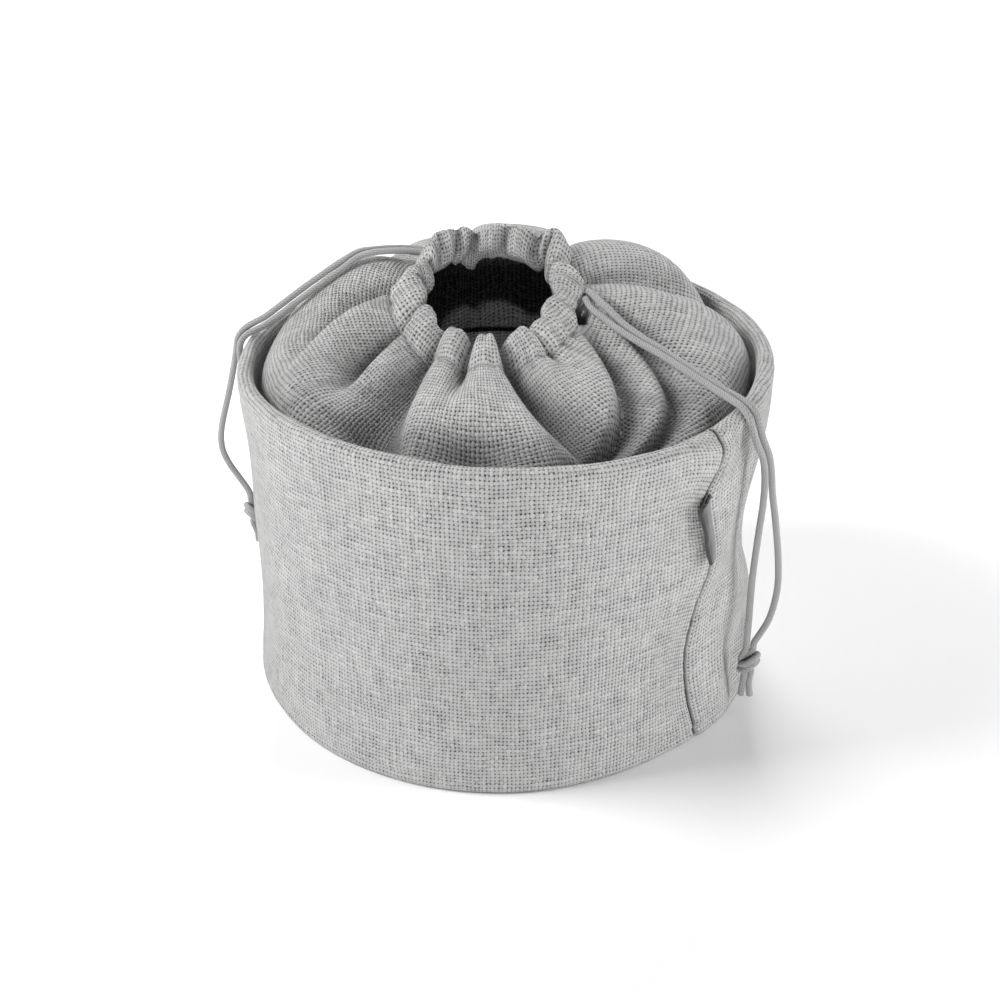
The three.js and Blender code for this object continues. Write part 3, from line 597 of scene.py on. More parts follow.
def woven(name, colour, pitch, cover, gap):
    """Coarse plain weave: threads over and under each other, uneven as spun by hand, with painted shade in
    the gaps between them and where a thread dips under.
    """
    made, start, shader = finish_tree(name, 0.92, 0.12)
    laid, across, up = layout(start)
    sway = laid.noise(SWAY_SCALE)
    sway_colour = Yarn(start.tree, sway.socket.node.outputs[1])
    parts = start.node("ShaderNodeSeparateColor", {}, {"Color": sway_colour})
    other = Yarn(start.tree, parts.socket.node.outputs[1])
    places = [across / pitch[0] + (parts - 0.5) * SWAY, up / pitch[1] + (other - 0.5) * SWAY]
    cells = [place.call("FLOOR") for place in places]
    crowns, spins = [], []
    for one, two in ((0, 1), (1, 0)):
        seed = cells[one] * 7.31 + (11.7 if one else 3.9)
        slub = start.node("ShaderNodeCombineXYZ", {}, {"X": seed, "Y": places[two] * SLUB_STRETCH})
        slub = slub.noise(1.0)
        half = (slub * 0.8 + 0.6) * (0.5 * cover)
        apart = (places[one] - cells[one] - 0.5 + (slub - 0.5) * SLUB_SWAY) / half
        round_top = (1 - apart * apart).call("MAXIMUM", 0.0).call("SQRT")
        swing = ((places[two] + cells[one] + (0.5 if one else -0.5)) * math.pi).call("COSINE")
        crowns.append(round_top * (swing * 0.42 + 0.58))
        spins.append(slub)
    height = crowns[0].call("MAXIMUM", crowns[1])
    upper = crowns[0].call("GREATER_THAN", crowns[1])
    spin = spins[1] + (spins[0] - spins[1]) * upper
    fuzz = laid.noise(FUZZ_SCALE)
    # painted shade: darker in the gaps between threads and where a thread dips under; the spin and fuzz are
    # the yarn's own uneven tone
    cover_mask = height.rise(0.0, 0.6)
    level = (cover_mask * (1 - gap) + gap) * (spin * 0.5 + 0.75) * (fuzz * 0.36 + 0.82)
    set_shader(start, shader, (level * tone_of(start)).tint(colour), height, WEAVE_RELIEF)
    return made


def laid_cord(name, colour):
    """Twisted cord: painted shade in the grooves between its strands, and fine fibres along them."""
    made, start, shader = finish_tree(name, 0.85, 0.1)
    laid, run, turn = layout(start)
    fibre = start.node("ShaderNodeCombineXYZ", {}, {"X": run * 900.0, "Y": turn * 30.0})
    fibre = fibre.noise(1.0)
    patch = laid.noise(CORD_PATCH_SCALE)
    groove = tone_of(start)
    # painted shade: the grooves between the strands are darker, and the fibre and patch noise are the cord's
    # own uneven tone
    level = (groove.rise(0.0, 0.8) * 0.75 + 0.25) * (fibre * 0.4 + 0.8) * (patch * 0.2 + 0.9)
    set_shader(start, shader, level.tint(colour), fibre, FIBRE_RELIEF)
    return made


def ribbon(name, colour):
    """Close-woven ribbon with fine ribs."""
    made, start, shader = finish_tree(name, 0.55, 0.2)
    laid, across, up = layout(start)
    ribs = (up * (2 * math.pi / RIBBON_RIB)).call("SINE") * 0.5 + 0.5
    floats = (across * (2 * math.pi / RIBBON_FLOAT)).call("SINE") * 0.5 + 0.5
    patch = laid.noise(RIBBON_PATCH_SCALE)
    level = (ribs * 0.15 + floats * 0.1 + 0.8) * (patch * 0.3 + 0.85) * tone_of(start)
    set_shader(start, shader, level.tint(colour), ribs + floats, RIBBON_RELIEF)
    return made


WALL_CLOTH = woven("wall_weave", (0.385, 0.385, 0.381), (0.00185, 0.002), 0.8, 0.04)
COLLAR_WEAVE = woven("collar_weave", (0.39, 0.39, 0.386), (0.0021, 0.0021), 0.76, 0.08)
CORD_FINISH = laid_cord("drawcord", (0.33, 0.33, 0.328))
RIBBON_FINISH = ribbon("label_ribbon", (0.14, 0.14, 0.14))
STITCH_FINISH = laid_cord("sewing_thread", (0.36, 0.36, 0.358))

# Camera


def aimed(name, data, place, target):
    """A camera or light at a place, turned to its target."""
    made = bpy.data.objects.new(name, data)
    bpy.context.scene.collection.objects.link(made)
    made.location = place
    made.rotation_euler = (Vector(target) - Vector(place)).to_track_quat("-Z", "Y").to_euler()
    return made


lens = bpy.data.cameras.new("camera")
lens.lens = CAMERA_LENS
lens.sensor_width = CAMERA_SENSOR
bpy.context.scene.camera = aimed("camera", lens, CAMERA_PLACE, CAMERA_AIM)

# Drawcord


def smooth_route(points, step):
    """A smooth line through the points, sampled evenly, with its running length."""
    points = np.asarray(points, float)
    ends = np.concatenate([[2 * points[0] - points[1]], points, [2 * points[-1] - points[-2]]])
    share = np.linspace(0, 1, ROUTE_STEPS, endpoint=False)[:, None]
    bend, twist = share**2, share**3
    line = []
    for a, b, c, d in zip(ends, ends[1:], ends[2:], ends[3:]):
        first, middle, last = (np.linalg.norm(gap) ** 0.5 for gap in (b - a, c - b, d - c))
        leave = ((b - a) / first - (c - a) / (first + middle) + (c - b) / middle) * middle
        arrive = ((c - b) / middle - (d - b) / (middle + last) + (d - c) / last) * middle
        stretch = (2 * twist - 3 * bend + 1) * b + (twist - 2 * bend + share) * leave
        line.append(stretch + (3 * bend - 2 * twist) * c + (twist - bend) * arrive)
    line = np.concatenate(line + [points[-1:]])
    run = lengths(line)
    even = np.linspace(0, run[-1], int(round(run[-1] / step)) + 1)
    return np.stack([np.interp(even, run, line[:, axis]) for axis in range(3)], axis=1), even


def across_line(line):
    """Two directions across a line, at each of its points, that do not spin about it."""
    way = np.gradient(line, axis=0)
    way /= np.linalg.norm(way, axis=1)[:, None]
    side = np.cross(way[0], (0.0, 1.0, 0.0))
    sides = []
    for step in way:
        side = side - step * side.dot(step)
        side = side / np.linalg.norm(side)
        sides.append(side)
    return np.array(sides), np.cross(way, sides)


def cord_piece(name, routes):
    """One piece of one or more lengths of laid cord, and their middle lines."""
    points, faces, laid, tone, lines = [], [], [], [], []
    turn = np.linspace(0, 2 * math.pi, CORD_SIDES, endpoint=False)[None, :]
    for route in routes:
        line, run = smooth_route(route, CORD_STEP)
        side, other = across_line(line)
        phase = CORD_STRANDS * (turn - 2 * math.pi * run[:, None] / CORD_LAY)
        groove = np.abs(np.sin(phase / 2))
        radius = CORD / 2 * (1 + CORD_GROOVE / 3 - CORD_GROOVE * (1 - groove) ** CORD_GROOVE_SHARP)
        radius = radius * (1 - CORD_END * ease(CORD_END_LENGTH, 0, run[-1] - run))[:, None]
        spread = np.cos(turn)[..., None] * side[:, None] + np.sin(turn)[..., None] * other[:, None]
        first = sum(len(part) for part in points)
        points.append((line[:, None] + radius[..., None] * spread).reshape(-1, 3))
        corners = strip_corners(len(line) - 1, CORD_SIDES)
        quads = np.stack([first + a * CORD_SIDES + b % CORD_SIDES for a, b in corners], axis=1)
        faces += quads[:, ::-1].tolist()
        places = np.stack([np.stack([run[a] * MM, b / CORD_SIDES], axis=-1) for a, b in corners], axis=1)
        laid.append(places[:, ::-1].reshape(-1, 2))
        last = first + (len(line) - 1) * CORD_SIDES
        faces += [list(range(first, first + CORD_SIDES)), list(range(last, last + CORD_SIDES))[::-1]]
        laid.append(np.zeros((2 * CORD_SIDES, 2)))
        tone.append(groove.ravel())
        lines.append(line)
    made = piece(name, np.concatenate(points), faces, np.concatenate(laid), np.concatenate(tone), CORD_FINISH)
    return made, lines


def drawcord(name, node, route):
    made, lines = cord_piece(name, [route])
    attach(made, "root")
    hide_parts(node)
    return made, lines[0] * MM


# Course of a strand through a knot, from the knot's middle: place, and half the distance between the two
# strands sideways and up
KNOT_COURSE = [
    (0, 0, 9.6, 1.7, 0),
    (0, 0, 7.8, 1.7, 0),
    (-0.6, 0.4, 5.2, 1.6, 0.3),
    (-2.2, 1.7, 1.6, 1.0, 1.0),
    (-1.2, 2.9, -1.6, 0, 1.6),
    (1.8, 2.6, 0.2, 0, 1.6),
    (4.0, 0, 2.4, 0, 1.6),
    (2.3, -3.0, 2.4, 0, 1.6),
    (-1.4, -3.0, -0.8, 0, 1.6),
    (-3.7, -0.4, -2.8, 0, 1.5),
    (-1.8, 1.5, -2.4, 0.8, 1.0),
    (0.1, 0.3, -5.2, 1.4, 0.3),
]

# Knots: middle, hand in which the strands go round, and the free ends of the two strands
KNOTS = {
    "knot_right": (
        (116.9, -60.4, 30.2),
        1,
        [[(115, -60.4, 18), (114.6, -60.2, 10.4)], [(118, -60, 18.4), (119, -60.2, 10)]],
    ),
    "knot_left": (
        (-125.4, 20.2, 65.8),
        -1,
        [[(-125.3, 21, 54), (-125, 21.4, 48)], [(-124, 23.6, 54.4), (-123.8, 24.4, 49)]],
    ),
}


def tied_knot(node):
    """Both strands of a side in one overhand knot, with their free ends."""
    middle, hand, tails = KNOTS[node]
    routes = []
    for sign, tail in zip((-1, 1), tails):
        course = []
        for x, y, z, side, rise in KNOT_COURSE:
            place = (middle[0] + hand * x + sign * side, middle[1] + y, middle[2] + z + hand * sign * rise)
            course.append(place)
        routes.append(course + tail)
    made = cord_piece(node + "_tied", routes)[0]
    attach(made, "root")
    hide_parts(node)
    return made


right_knot = tied_knot("knot_right")
left_knot = tied_knot("knot_left")
for name, node, route, length, knot in (
    ("drawcord_right_front", "cord_right_front", RIGHT_FRONT, 0.230, [right_knot]),
    ("drawcord_right_back", "cord_right_back", RIGHT_BACK, 0.234, []),
    ("drawcord_left_outer", "cord_left_outer", LEFT_OUTER, 0.204, [left_knot]),
    ("drawcord_left_inner", "cord_left_inner", LEFT_INNER, 0.195, []),
):
    strand, line = drawcord(name, node, route)
    line[::4].tolist() + [line[-1].tolist()]

# Wall


def round_radius(angle, height):
    level = height / around(OUTLINE, 3, angle)
    base = around(OUTLINE, 1, angle)
    return base + (around(OUTLINE, 2, angle) - base) * along(FLARE, 1, level)


def dented(radius, table, angle, height):
    for middle, place, lean, wide, tall, depth in table:
        sideways = turn_between(angle, middle + lean * (height - place))
        radius = radius - depth * bump(sideways, wide) * bump(height - place, tall)
    return radius


def dented_radius(angle, height):
    return dented(round_radius(angle, height), DENTS, angle, height)


def pulled(section, height):
    """Direction of a section that keeps its distance from the waving seam."""
    away = turn_between(section, SEAM_MIDDLE)
    return section + (along(SEAM, 1, height) - SEAM_MIDDLE) * bump(away, SEAM_PULL)


def wall_relief(section, height, top):
    """What the sewing and the cloth's own unevenness add to the outside of the wall."""
    away = turn_between(section, SEAM_MIDDLE)
    relief = -SEAM_LINE * bump(away, SEAM_SLOT) - SEAM_HOLLOW * bump(away, SEAM_HOLLOW_WIDE)
    relief = relief + SEAM_BULK * bump(away - SEAM_BULK_PLACE, SEAM_BULK_WIDE)
    relief = relief + SEAM_ROLL * bump(away - SEAM_ROLL_PLACE, SEAM_ROLL_WIDE)
    pucker = bump(np.abs(away) - SEAM_PUCKER_PLACE, SEAM_PUCKER_WIDE)
    relief = relief + SEAM_PUCKER * np.sin(height * SEAM_PUCKER_RATE) * pucker
    relief = relief - BASE_CREASE * bump(height - BASE_CREASE_HEIGHT, BASE_CREASE_WIDE)
    relief = relief - FOOT_ROUND * ease(FOOT_HEIGHT, 0, height)
    relief = relief - HEM_CREASE * bump(top - HEM_PLACE - height, HEM_CREASE_WIDE)
    soft = ripple(section, WALL_WAVES)
    turn = np.radians(section)
    cross = sum(np.sin(height * rate + turn * count + phase) for rate, count, phase in CROSS_WAVES)
    share = ease(0, WAVES_FROM_BASE, height) * ease(0, WAVES_TO_RIM, top - height)
    return relief + (soft + CROSS_SIZE * cross) * share


def wall_sheet():
    sections = SEAM_MIDDLE + WALL_SECTIONS
    grid = sections[:, None]
    top = around(OUTLINE, 3, sections)[:, None]
    start = top - RIM_TURN
    heights = start * np.linspace(0, 1, WALL_ROWS)[None, :-1]
    swing = np.linspace(0, math.pi, TURN_ROWS)[None, :]
    down = start + (FACING_END - start) * np.linspace(0, 1, FACING_ROWS)[None, 1:]

    def creased(angle, height):
        return dented(dented_radius(angle, height), WALL_CREASES, angle, height)

    def outside(deep, levels):
        angle = pulled(grid, levels)
        return polar(angle, creased(angle, levels) + wall_relief(grid, levels, top) - deep, levels)

    def turned(radius, arc):
        angle = pulled(grid, start + radius * np.sin(arc))
        outer = creased(angle, start) + wall_relief(grid, start, top)
        inner = round_radius(angle, start) - 2 * RIM_TURN
        half = (outer - inner) / 2 - (RIM_TURN - radius)
        lift = radius + ripple(grid, RIM_WAVES)
        reach = np.sign(np.cos(arc)) * np.abs(np.cos(arc)) ** RIM_FULLNESS
        return polar(angle, (outer + inner) / 2 + half * reach, start + lift * np.sin(arc))

    def facing(thick, levels):
        angle = pulled(grid, start + 0 * levels)
        return polar(angle, round_radius(angle, levels) - 2 * RIM_TURN + thick, levels)

    face = [outside(0, heights), turned(RIM_TURN, swing), facing(0, down)]
    back = [facing(SHEET, down[:, ::-2]), turned(RIM_TURN - SHEET, swing[:, ::-2])]
    back.append(outside(SHEET, heights[:, ::-4]))
    loops = np.concatenate(face + back, axis=1)
    up = lengths(np.concatenate([loops, loops[:, :1]], axis=1))
    across = np.radians(np.append(WALL_SECTIONS, 360)) * WALL_MEAN
    tone = np.ones(loops.shape[:2])
    tone[:, : WALL_ROWS + TURN_ROWS // 2] -= SEAM_DARK * bump(turn_between(grid, SEAM_MIDDLE), SEAM_SLOT)
    return ring_sheet("wall_cloth", loops, across, up, tone, WALL_CLOTH, np.ones(loops.shape[1]))


def base_sheet():
    """The round base panel, soft at its edge."""
    reach = column(BASE_EDGE, 0)
    drop = column(BASE_EDGE, 1)
    angle = np.arange(0, 360, 2.0)[:, None]
    radius = dented_radius(angle, np.full_like(angle, BASE_THICK)) - SHEET - BASE_GAP
    under = polar(angle, radius * reach, drop)
    over = polar(angle, radius * reach[::-1], BASE_THICK - drop[::-1])
    loops = np.concatenate([under, over], axis=1)
    sections, size = loops.shape[:2]
    corners = strip_corners(sections, size - 1)
    faces = np.stack([(a % sections) * size + b for a, b in corners], axis=1)
    laid = loops.reshape(-1, 3)[faces][..., :2] * MM
    made = piece("base_cloth", loops.reshape(-1, 3), faces, laid, np.ones(loops.shape[:2]), WALL_CLOTH)
    bpy.ops.object.select_all(action="DESELECT")
    bpy.context.view_layer.objects.active = made
    made.select_set(True)
    bpy.ops.object.mode_set(mode="EDIT")
    bpy.ops.mesh.select_all(action="SELECT")
    bpy.ops.mesh.remove_doubles(threshold=0.00001)
    bpy.ops.object.mode_set(mode="OBJECT")
    return made


# Collar


def front_to_back(front, side, back, angle):
    lean = np.sin(np.radians(angle))
    tilt = (back - front) / 2
    bow = (back + front) / 2 - side
    return side + tilt * lean + bow * lean * lean


def fold_shift(angle, drift):
    """How far the folds and hollows move the collar out (positive) or in."""
    shift = 0 * (angle + drift)
    for mouth, rim, slim, broad, pinch, depth, begins, ends, skew in FOLDS:
        middle = mouth + (rim - mouth) * drift
        width = slim + (broad - slim) * drift
        start = pinch + (depth - pinch) * np.minimum(drift / FOLD_MIDDLE, 1)
        left = ease(0, FOLD_FADE, ends - drift) * ease(0, FOLD_RISE, drift - begins)
        shift = shift - start * left * crease(turn_between(angle, middle), width, skew)
    for middle, place, wide, long, depth in HOLLOWS:
        shift = shift - depth * bump(turn_between(angle, middle), wide) * bump(drift - place, long)
    return shift


def sewn_relief(angle, lift):
    """The casing's stitch line with its puckers, by the distance up the cloth from it."""
    return ripple(angle, PUCKERS) * bump(lift - 1, PUCKER_WIDE) - STITCH_GROOVE * bump(lift, 1.0)


def slit_shape(angle, lift, radius):
    """Depth of the slits' pockets with the lip around them, and the shade painted inside them."""
    shift = 0 * (angle + lift)
    tone = 1 + shift
    for middle, place in SLITS:
        side = np.radians(turn_between(angle, middle)) * radius / (SLIT_LENGTH / 2)
        reach = np.hypot(side, (lift - place) / (SLIT_WIDTH / 2))
        lip = SLIT_LIP * bump(reach - SLIT_LIP_PLACE, SLIT_LIP_WIDE)
        shift = shift - SLIT_DEPTH * ease(*SLIT_EDGE, reach) + lip
        # painted shade inside the slits
        tone = tone - SLIT_SHADE * ease(*SLIT_SHADE_EDGE, reach)
    return shift, tone


def collar_profile(angle, places):
    """Radius, height, offset, drift and normal of the collar's slope, before its folds."""
    sewn = np.array([[FACING_END, FACING_END + SEWN_STRIP]], float)
    first = round_radius(angle[:, None], sewn) - 2 * RIM_TURN - SEWN_GAP
    radius = np.concatenate([first, column(COLLAR, 0) + 0 * angle[:, None]], axis=1)
    rise = np.stack([front_to_back(*row[1:4], angle) for row in COLLAR], axis=1)
    height = np.concatenate([sewn + 0 * angle[:, None], rise], axis=1)
    offset = np.concatenate([[0, 0], column(COLLAR, 4)])
    drift = np.concatenate([[1, 1], column(COLLAR, 5)])
    radius, height = through(radius, places), through(height, places)
    run, climb = np.gradient(radius, places, axis=1), np.gradient(height, places, axis=1)
    size = np.hypot(run, climb)
    return radius, height, through(offset, places), through(drift, places), climb / size, -run / size


def moved(points, offset):
    return points + np.stack(np.broadcast_arrays(MOUTH_X * offset, MOUTH_Y * offset, 0 * offset), axis=-1)


def toward(out, rise, lean, blend):
    """A direction between the slope's normal and the casing's."""
    out = out * (1 - blend) + np.sin(lean) * blend
    rise = rise * (1 - blend) + np.cos(lean) * blend
    size = np.hypot(out, rise)
    return out / size, rise / size


def collar_slope(angle, places, deep):
    """The slope's face, deep under the outer one, with its place along the cloth and its tone."""
    grid = angle[:, None]
    radius, height, offset, drift, out, rise = collar_profile(angle, places)
    fine = np.linspace(0, STITCH_ROW, SLOPE_STEPS)
    whole = collar_profile(angle, fine)
    run = lengths(np.stack(whole[:2], axis=-1))
    place = np.stack([np.interp(places, fine, row) for row in run])
    lift = place - run[:, -1:]
    lean = np.radians(front_to_back(*CASING_LEAN, grid))
    out, rise = toward(out, rise, lean, 0.5 * ease(STITCH_ROW - 1, STITCH_ROW, places))
    pocket, tone = slit_shape(grid, lift, radius)
    soft = ripple(grid, CLOTH_WAVES) * np.sin(lift * CLOTH_WAVE_RATE)
    soft = soft * bump(drift - CLOTH_WAVE_DRIFT, CLOTH_WAVE_LONG)
    folds = fold_shift(grid, drift)
    # painted shade: where the cloth goes down inside the rim at the front
    inside = ease(*RIM_SHADE_DRIFTS, drift) * bump(turn_between(grid, RIM_SHADE_MIDDLE), RIM_SHADE_WIDE)
    # painted shade: the cloth is made darker at the bottom of the folds, and inside the rim at the front
    tone = tone * (1 - FOLD_SHADE * ease(*FOLD_SHADE_DEPTHS, -folds)) * (1 - RIM_SHADE * inside)
    shift = folds + sewn_relief(grid, lift) + pocket + soft
    shift = shift * ease(1, 2, places) - deep
    return moved(polar(grid, radius + shift * out, height + shift * rise), offset), place, tone


def ruffles(angle, share):
    """Depth of the creases inside the casing, from the crest (0) to the hem (1), and how far they dip it."""
    depth = 0 * (angle + share)
    dip = depth
    for crest, hem, wide, deep, low in RUFFLES:
        here = deep * crease(turn_between(angle, crest + (hem - crest) * share), wide, 0)
        depth = np.maximum(depth, here)
        dip = np.maximum(dip, low * here)
    return depth, dip


def collar_casing(angle, places):
    """The casing from its stitch line over the crest to the hem's edge, with its tone."""
    grid = angle[:, None]
    radius, front, side, back, offset, drift = COLLAR[-1]
    run, across = through(column(CASING, 0), places), through(column(CASING, 1), places)
    lean = np.radians(front_to_back(*CASING_LEAN, grid))
    end = collar_profile(angle, np.array([STITCH_ROW - 0.1, STITCH_ROW]))
    outer = places < CREST_ROW
    blend = np.where(outer, 0.5 + 0.5 * ease(0, CASING_BLEND, run), 1)
    out, rise = toward(end[4][:, 1:], end[5][:, 1:], lean, blend)
    shift = fold_shift(grid, drift * (1 - run / CASING_LENGTH))
    shift = shift * (1 - HEM_EASE * ease(CREST_ROW, HEM_ROW, places))
    lift = np.where(outer, run, CASING_LENGTH * 4) + 0 * grid
    pocket, tone = slit_shape(grid, lift, radius - run * np.cos(lean))
    crest = ripple(grid, CREST_WAVES) * bump(run - CREST_WAVE_PLACE, CREST_WAVE_WIDE)
    ruffle, dip = ruffles(grid, np.clip((places - CREST_ROW) / (HEM_ROW - CREST_ROW), 0, 1))
    ruffle = ruffle * (1 - RUFFLE_FADE * ease(HEM_ROW - RUFFLE_FADE_ROWS, HEM_ROW, places))
    dip = RUFFLE_DIP * dip * bump(run - CASING_LENGTH, RUFFLE_DIP_WIDE)
    climb = run + run / CASING_LENGTH * (CREST_NOTCH * shift - dip)
    inside = ease(*RUFFLE_BEGINS, places - CREST_ROW)
    # painted shade: darker in the ruffles' creases and at the bottom of the folds
    ruffle_shade = inside * ease(*RUFFLE_SHADE_DEPTHS, ruffle)
    tone = tone * (1 - FOLD_SHADE * np.maximum(ease(*FOLD_SHADE_DEPTHS, -shift), ruffle_shade))
    across = across + inside * (ruffle - RUFFLE_PUFF * bump(run - RUFFLE_PUFF_PLACE, RUFFLE_PUFF_WIDE))
    shift = shift + sewn_relief(grid, lift) + pocket + crest
    radius = radius - climb * np.cos(lean) + across * np.sin(lean) + shift * out
    height = front_to_back(front, side, back, grid) + climb * np.sin(lean) + across * np.cos(lean)
    height = height + shift * rise
    return moved(polar(grid, radius, height), offset + (1 - offset) * ease(0, MOUTH_BLEND, run)), tone


def collar_sheet():
    angle = COLLAR_SECTIONS
    slope, place, slope_tone = collar_slope(angle, SLOPE_PLACES, 0)
    casing, casing_tone = collar_casing(angle, CASING_PLACES)
    under = collar_slope(angle, SLOPE_PLACES[::-3], SHEET)[0]
    loops = np.concatenate([slope, casing, under], axis=1)
    rest = np.concatenate([slope[:, -1:], casing, under, slope[:, :1]], axis=1)
    up = np.concatenate([place, place[:, -1:] + lengths(rest)[:, 1:]], axis=1)
    middle = slope[:, WEAVE_ROW]
    middle = lengths(np.concatenate([middle, middle[:1]]))
    across = middle / middle[-1] * COLLAR_CLOTH
    tone = np.concatenate([slope_tone, casing_tone, np.ones(under.shape[:2])], axis=1)
    gather = np.ones(loops.shape[1])
    gather[slope.shape[1] : slope.shape[1] + casing.shape[1]] = CASING_SHOWN
    return ring_sheet("collar_cloth", loops, across, up, tone, COLLAR_WEAVE, gather)


def stitch_row():
    """Stitches along the casing's seam: one is modelled and set along the line."""
    bpy.ops.object.select_all(action="DESELECT")
    bpy.ops.mesh.primitive_uv_sphere_add(segments=8, ring_count=5, radius=0.5)
    one = bpy.context.object
    bpy.ops.object.mode_set(mode="EDIT")
    bpy.ops.mesh.select_all(action="SELECT")
    bpy.ops.transform.resize(value=STITCH_SIZE)
    bpy.ops.object.mode_set(mode="OBJECT")
    shape = np.array([corner.co for corner in one.data.vertices])
    faces = [np.array(face) for face in sorted(tuple(face.vertices) for face in one.data.polygons)]
    bpy.data.objects.remove(one)
    rows = collar_slope(COLLAR_SECTIONS, np.array([STITCH_ROW - 0.08, STITCH_ROW]), 0)[0]
    below, line = (np.concatenate([rows[:, row], rows[:1, row]]) for row in (0, 1))
    run = lengths(line)
    count = int(run[-1] / STITCH_STEP)
    place = (np.arange(count) + 0.5) * run[-1] / count
    angle = np.interp(place, run, np.append(COLLAR_SECTIONS, COLLAR_SECTIONS[0] + 360))
    place = place[slit_shape(angle, 0, STITCH_RADIUS)[1] > 0.99]
    spot, low, ahead, behind = (
        np.stack([np.interp(place + step, run, track[:, axis]) for axis in range(3)], axis=1)
        for track, step in ((line, 0), (below, 0), (line, STITCH_REACH), (line, -STITCH_REACH))
    )
    way = ahead - behind
    way /= np.linalg.norm(way, axis=1)[:, None]
    up = np.cross(way, low - spot)
    up *= np.where(up[:, 2] < 0, -1, 1)[:, None] / np.linalg.norm(up, axis=1)[:, None]
    axes = np.stack([np.cross(up, way), up, way], axis=1)
    count = len(place)
    points = spot[:, None] + up[:, None] * STITCH_SIZE[1] / 3 + np.einsum("va,sax->svx", shape, axes)
    faces = [face + first * len(shape) for first in range(count) for face in faces]
    corners = sum(len(face) for face in faces)
    tone = np.ones(count * len(shape))
    return piece("casing_stitches", points.reshape(-1, 3), faces, np.zeros((corners, 2)), tone, STITCH_FINISH)


# Label


def label_face(half):
    """One face of the folded ribbon in plan: along one layer, round the fold and back along the other."""
    places = np.linspace(0, len(LABEL_COURSE) - 1, 17)
    course = through(np.array(LABEL_COURSE, float).T, places)
    way = np.gradient(course, axis=1)
    way = way / np.linalg.norm(way, axis=0)
    aside = np.stack([-way[1], way[0]]) * half
    swing = np.linspace(0, math.pi, 9)[1:-1]
    fold = course[:, -1:] + half * np.stack([np.sin(swing), np.cos(swing)])
    return np.concatenate([course + aside, fold, (course - aside)[:, ::-1]], axis=1)


def label_piece():
    """The folded label, its free part swung out from the wall and the whole set along the seam."""
    plan = np.concatenate([label_face(LABEL_HALF), label_face(LABEL_HALF - LABEL_SHEET)[:, ::-1]], axis=1)
    share = np.linspace(0, 1, LABEL_ROWS)[:, None]
    swing = np.radians(along(LABEL_SWING, 1, share))
    height = LABEL_BOTTOM + LABEL_HEIGHT * share
    free = np.maximum(plan[0] - LABEL_COURSE[-2][0], 0)[None, :]
    left = plan[0] - free * (1 - np.cos(swing))
    out = plan[1] + free * np.sin(swing)
    angle = along(SEAM, 1, height)
    points = polar(angle, dented_radius(angle, height) + out, height + 0 * out)
    points = points + left[..., None] * polar(angle - 90, np.ones_like(angle), 0 * angle)
    rows, size = points.shape[:2]
    corners = strip_corners(rows - 1, size)
    faces = np.stack([a * size + b % size for a, b in corners], axis=1)[:, ::-1].tolist()
    run = lengths(np.concatenate([plan, plan[:, :1]], axis=1).T)
    laid = [np.stack([np.stack([run[b], height[a, 0]], axis=-1) for a, b in corners], axis=1)[:, ::-1]]
    for row, turn in ((0, 1), (rows - 1, -1)):
        first = row * size
        for place in range(size // 2 - 1):
            other = size - 1 - place
            faces.append([first + place, first + place + 1, first + other - 1, first + other][::turn])
            laid.append(np.full((1, 4, 2), height[row, 0]))
    # painted shade towards the label's fold
    tone = np.tile(1 - LABEL_SHADE * ease(*LABEL_SHADE_PLACES, plan[0]), (rows, 1))
    laid = np.concatenate([part.reshape(-1, 2) for part in laid]) * MM
    return piece("label_ribbon", points.reshape(-1, 3), faces, laid, tone, RIBBON_FINISH)


wall = wall_sheet()
base = base_sheet()
collar = collar_sheet()
label = label_piece()
for made, node, slot in (
    (wall, "wall", "cloth"),
    (base, "base", "cloth"),
    (collar, "collar", "collar_cloth"),
    (label, "side_label", "ribbon"),
):
    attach(made, "root")
    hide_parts(node)
stitches = stitch_row()
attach(stitches, "root")

# Studio

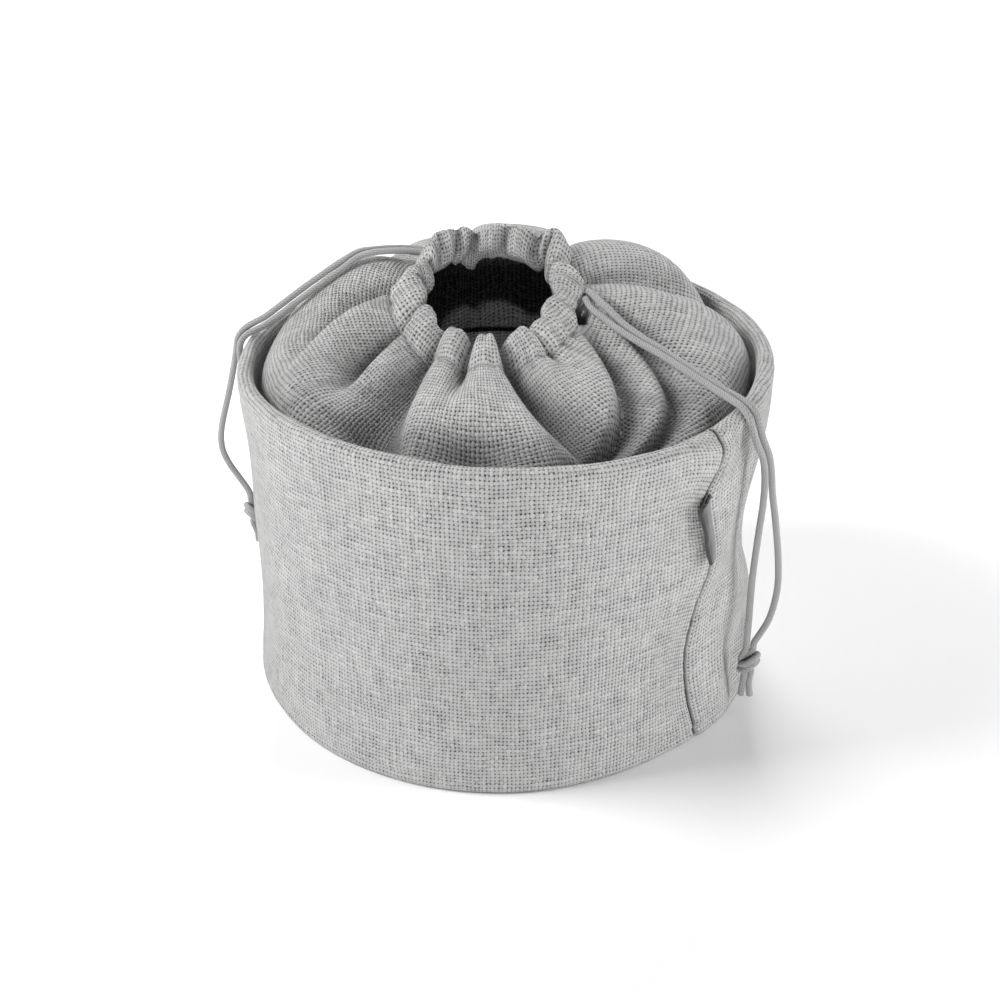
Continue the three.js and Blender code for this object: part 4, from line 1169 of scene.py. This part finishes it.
bpy.ops.object.select_all(action="DESELECT")
bpy.ops.mesh.primitive_plane_add(size=FLOOR_SIZE)
floor = bpy.context.object
floor.name = "floor"
pale = bpy.data.materials.new("pale_floor")
pale.use_nodes = True
pale_shader = pale.node_tree.nodes["Principled BSDF"]
pale_shader.inputs["Base Color"].default_value = FLOOR_TONE
pale_shader.inputs["Roughness"].default_value = FLOOR_ROUGHNESS
pale_start = Yarn(pale.node_tree)
pale_place = pale_start.node("ShaderNodeTexCoord", {}, {}, output=3)
pale_reach = pale_start.node("ShaderNodeVectorMath", {"operation": "LENGTH"}, {0: pale_place}, output=1)
pale_glow = pale_reach.rise(*FLOOR_GLOW_REACH).tint((1, 1, 1))
pale.node_tree.links.new(pale_glow.socket, pale_shader.inputs["Emission Color"])
pale_shader.inputs["Emission Strength"].default_value = FLOOR_GLOW
floor.data.materials.append(pale)

# The sky lights the bag a little and is white to the camera
sky = bpy.data.worlds.new("studio")
sky.use_nodes = True
sky_shader = sky.node_tree.nodes["Background"]
sky_shader.inputs["Color"].default_value = (1, 1, 1, 1)
sky_path = sky.node_tree.nodes.new("ShaderNodeLightPath")
sky_level = sky.node_tree.nodes.new("ShaderNodeMapRange")
sky_level.inputs["To Min"].default_value = SKY_LIGHT
sky_level.inputs["To Max"].default_value = SKY_SEEN
sky.node_tree.links.new(sky_path.outputs["Is Camera Ray"], sky_level.inputs["Value"])
sky.node_tree.links.new(sky_level.outputs["Result"], sky_shader.inputs["Strength"])
bpy.context.scene.world = sky

for name, place, power in LIGHTS:
    glow = bpy.data.lights.new(name, "AREA")
    glow.size = LIGHT_SIZE
    glow.energy = power
    aimed(name, glow, place, LIGHT_AIM)
glow = bpy.data.lights.new("into_mouth", "SPOT")
glow.energy = MOUTH_LIGHT_POWER
glow.spot_size = math.radians(MOUTH_LIGHT_CONE)
glow.spot_blend = 1.0
glow.shadow_soft_size = MOUTH_LIGHT_SIZE
aimed("into_mouth", glow, MOUTH_LIGHT_PLACE, MOUTH_LIGHT_AIM)
bpy.context.scene.view_settings.view_transform = "Standard"

bpy.context.view_layer.update()
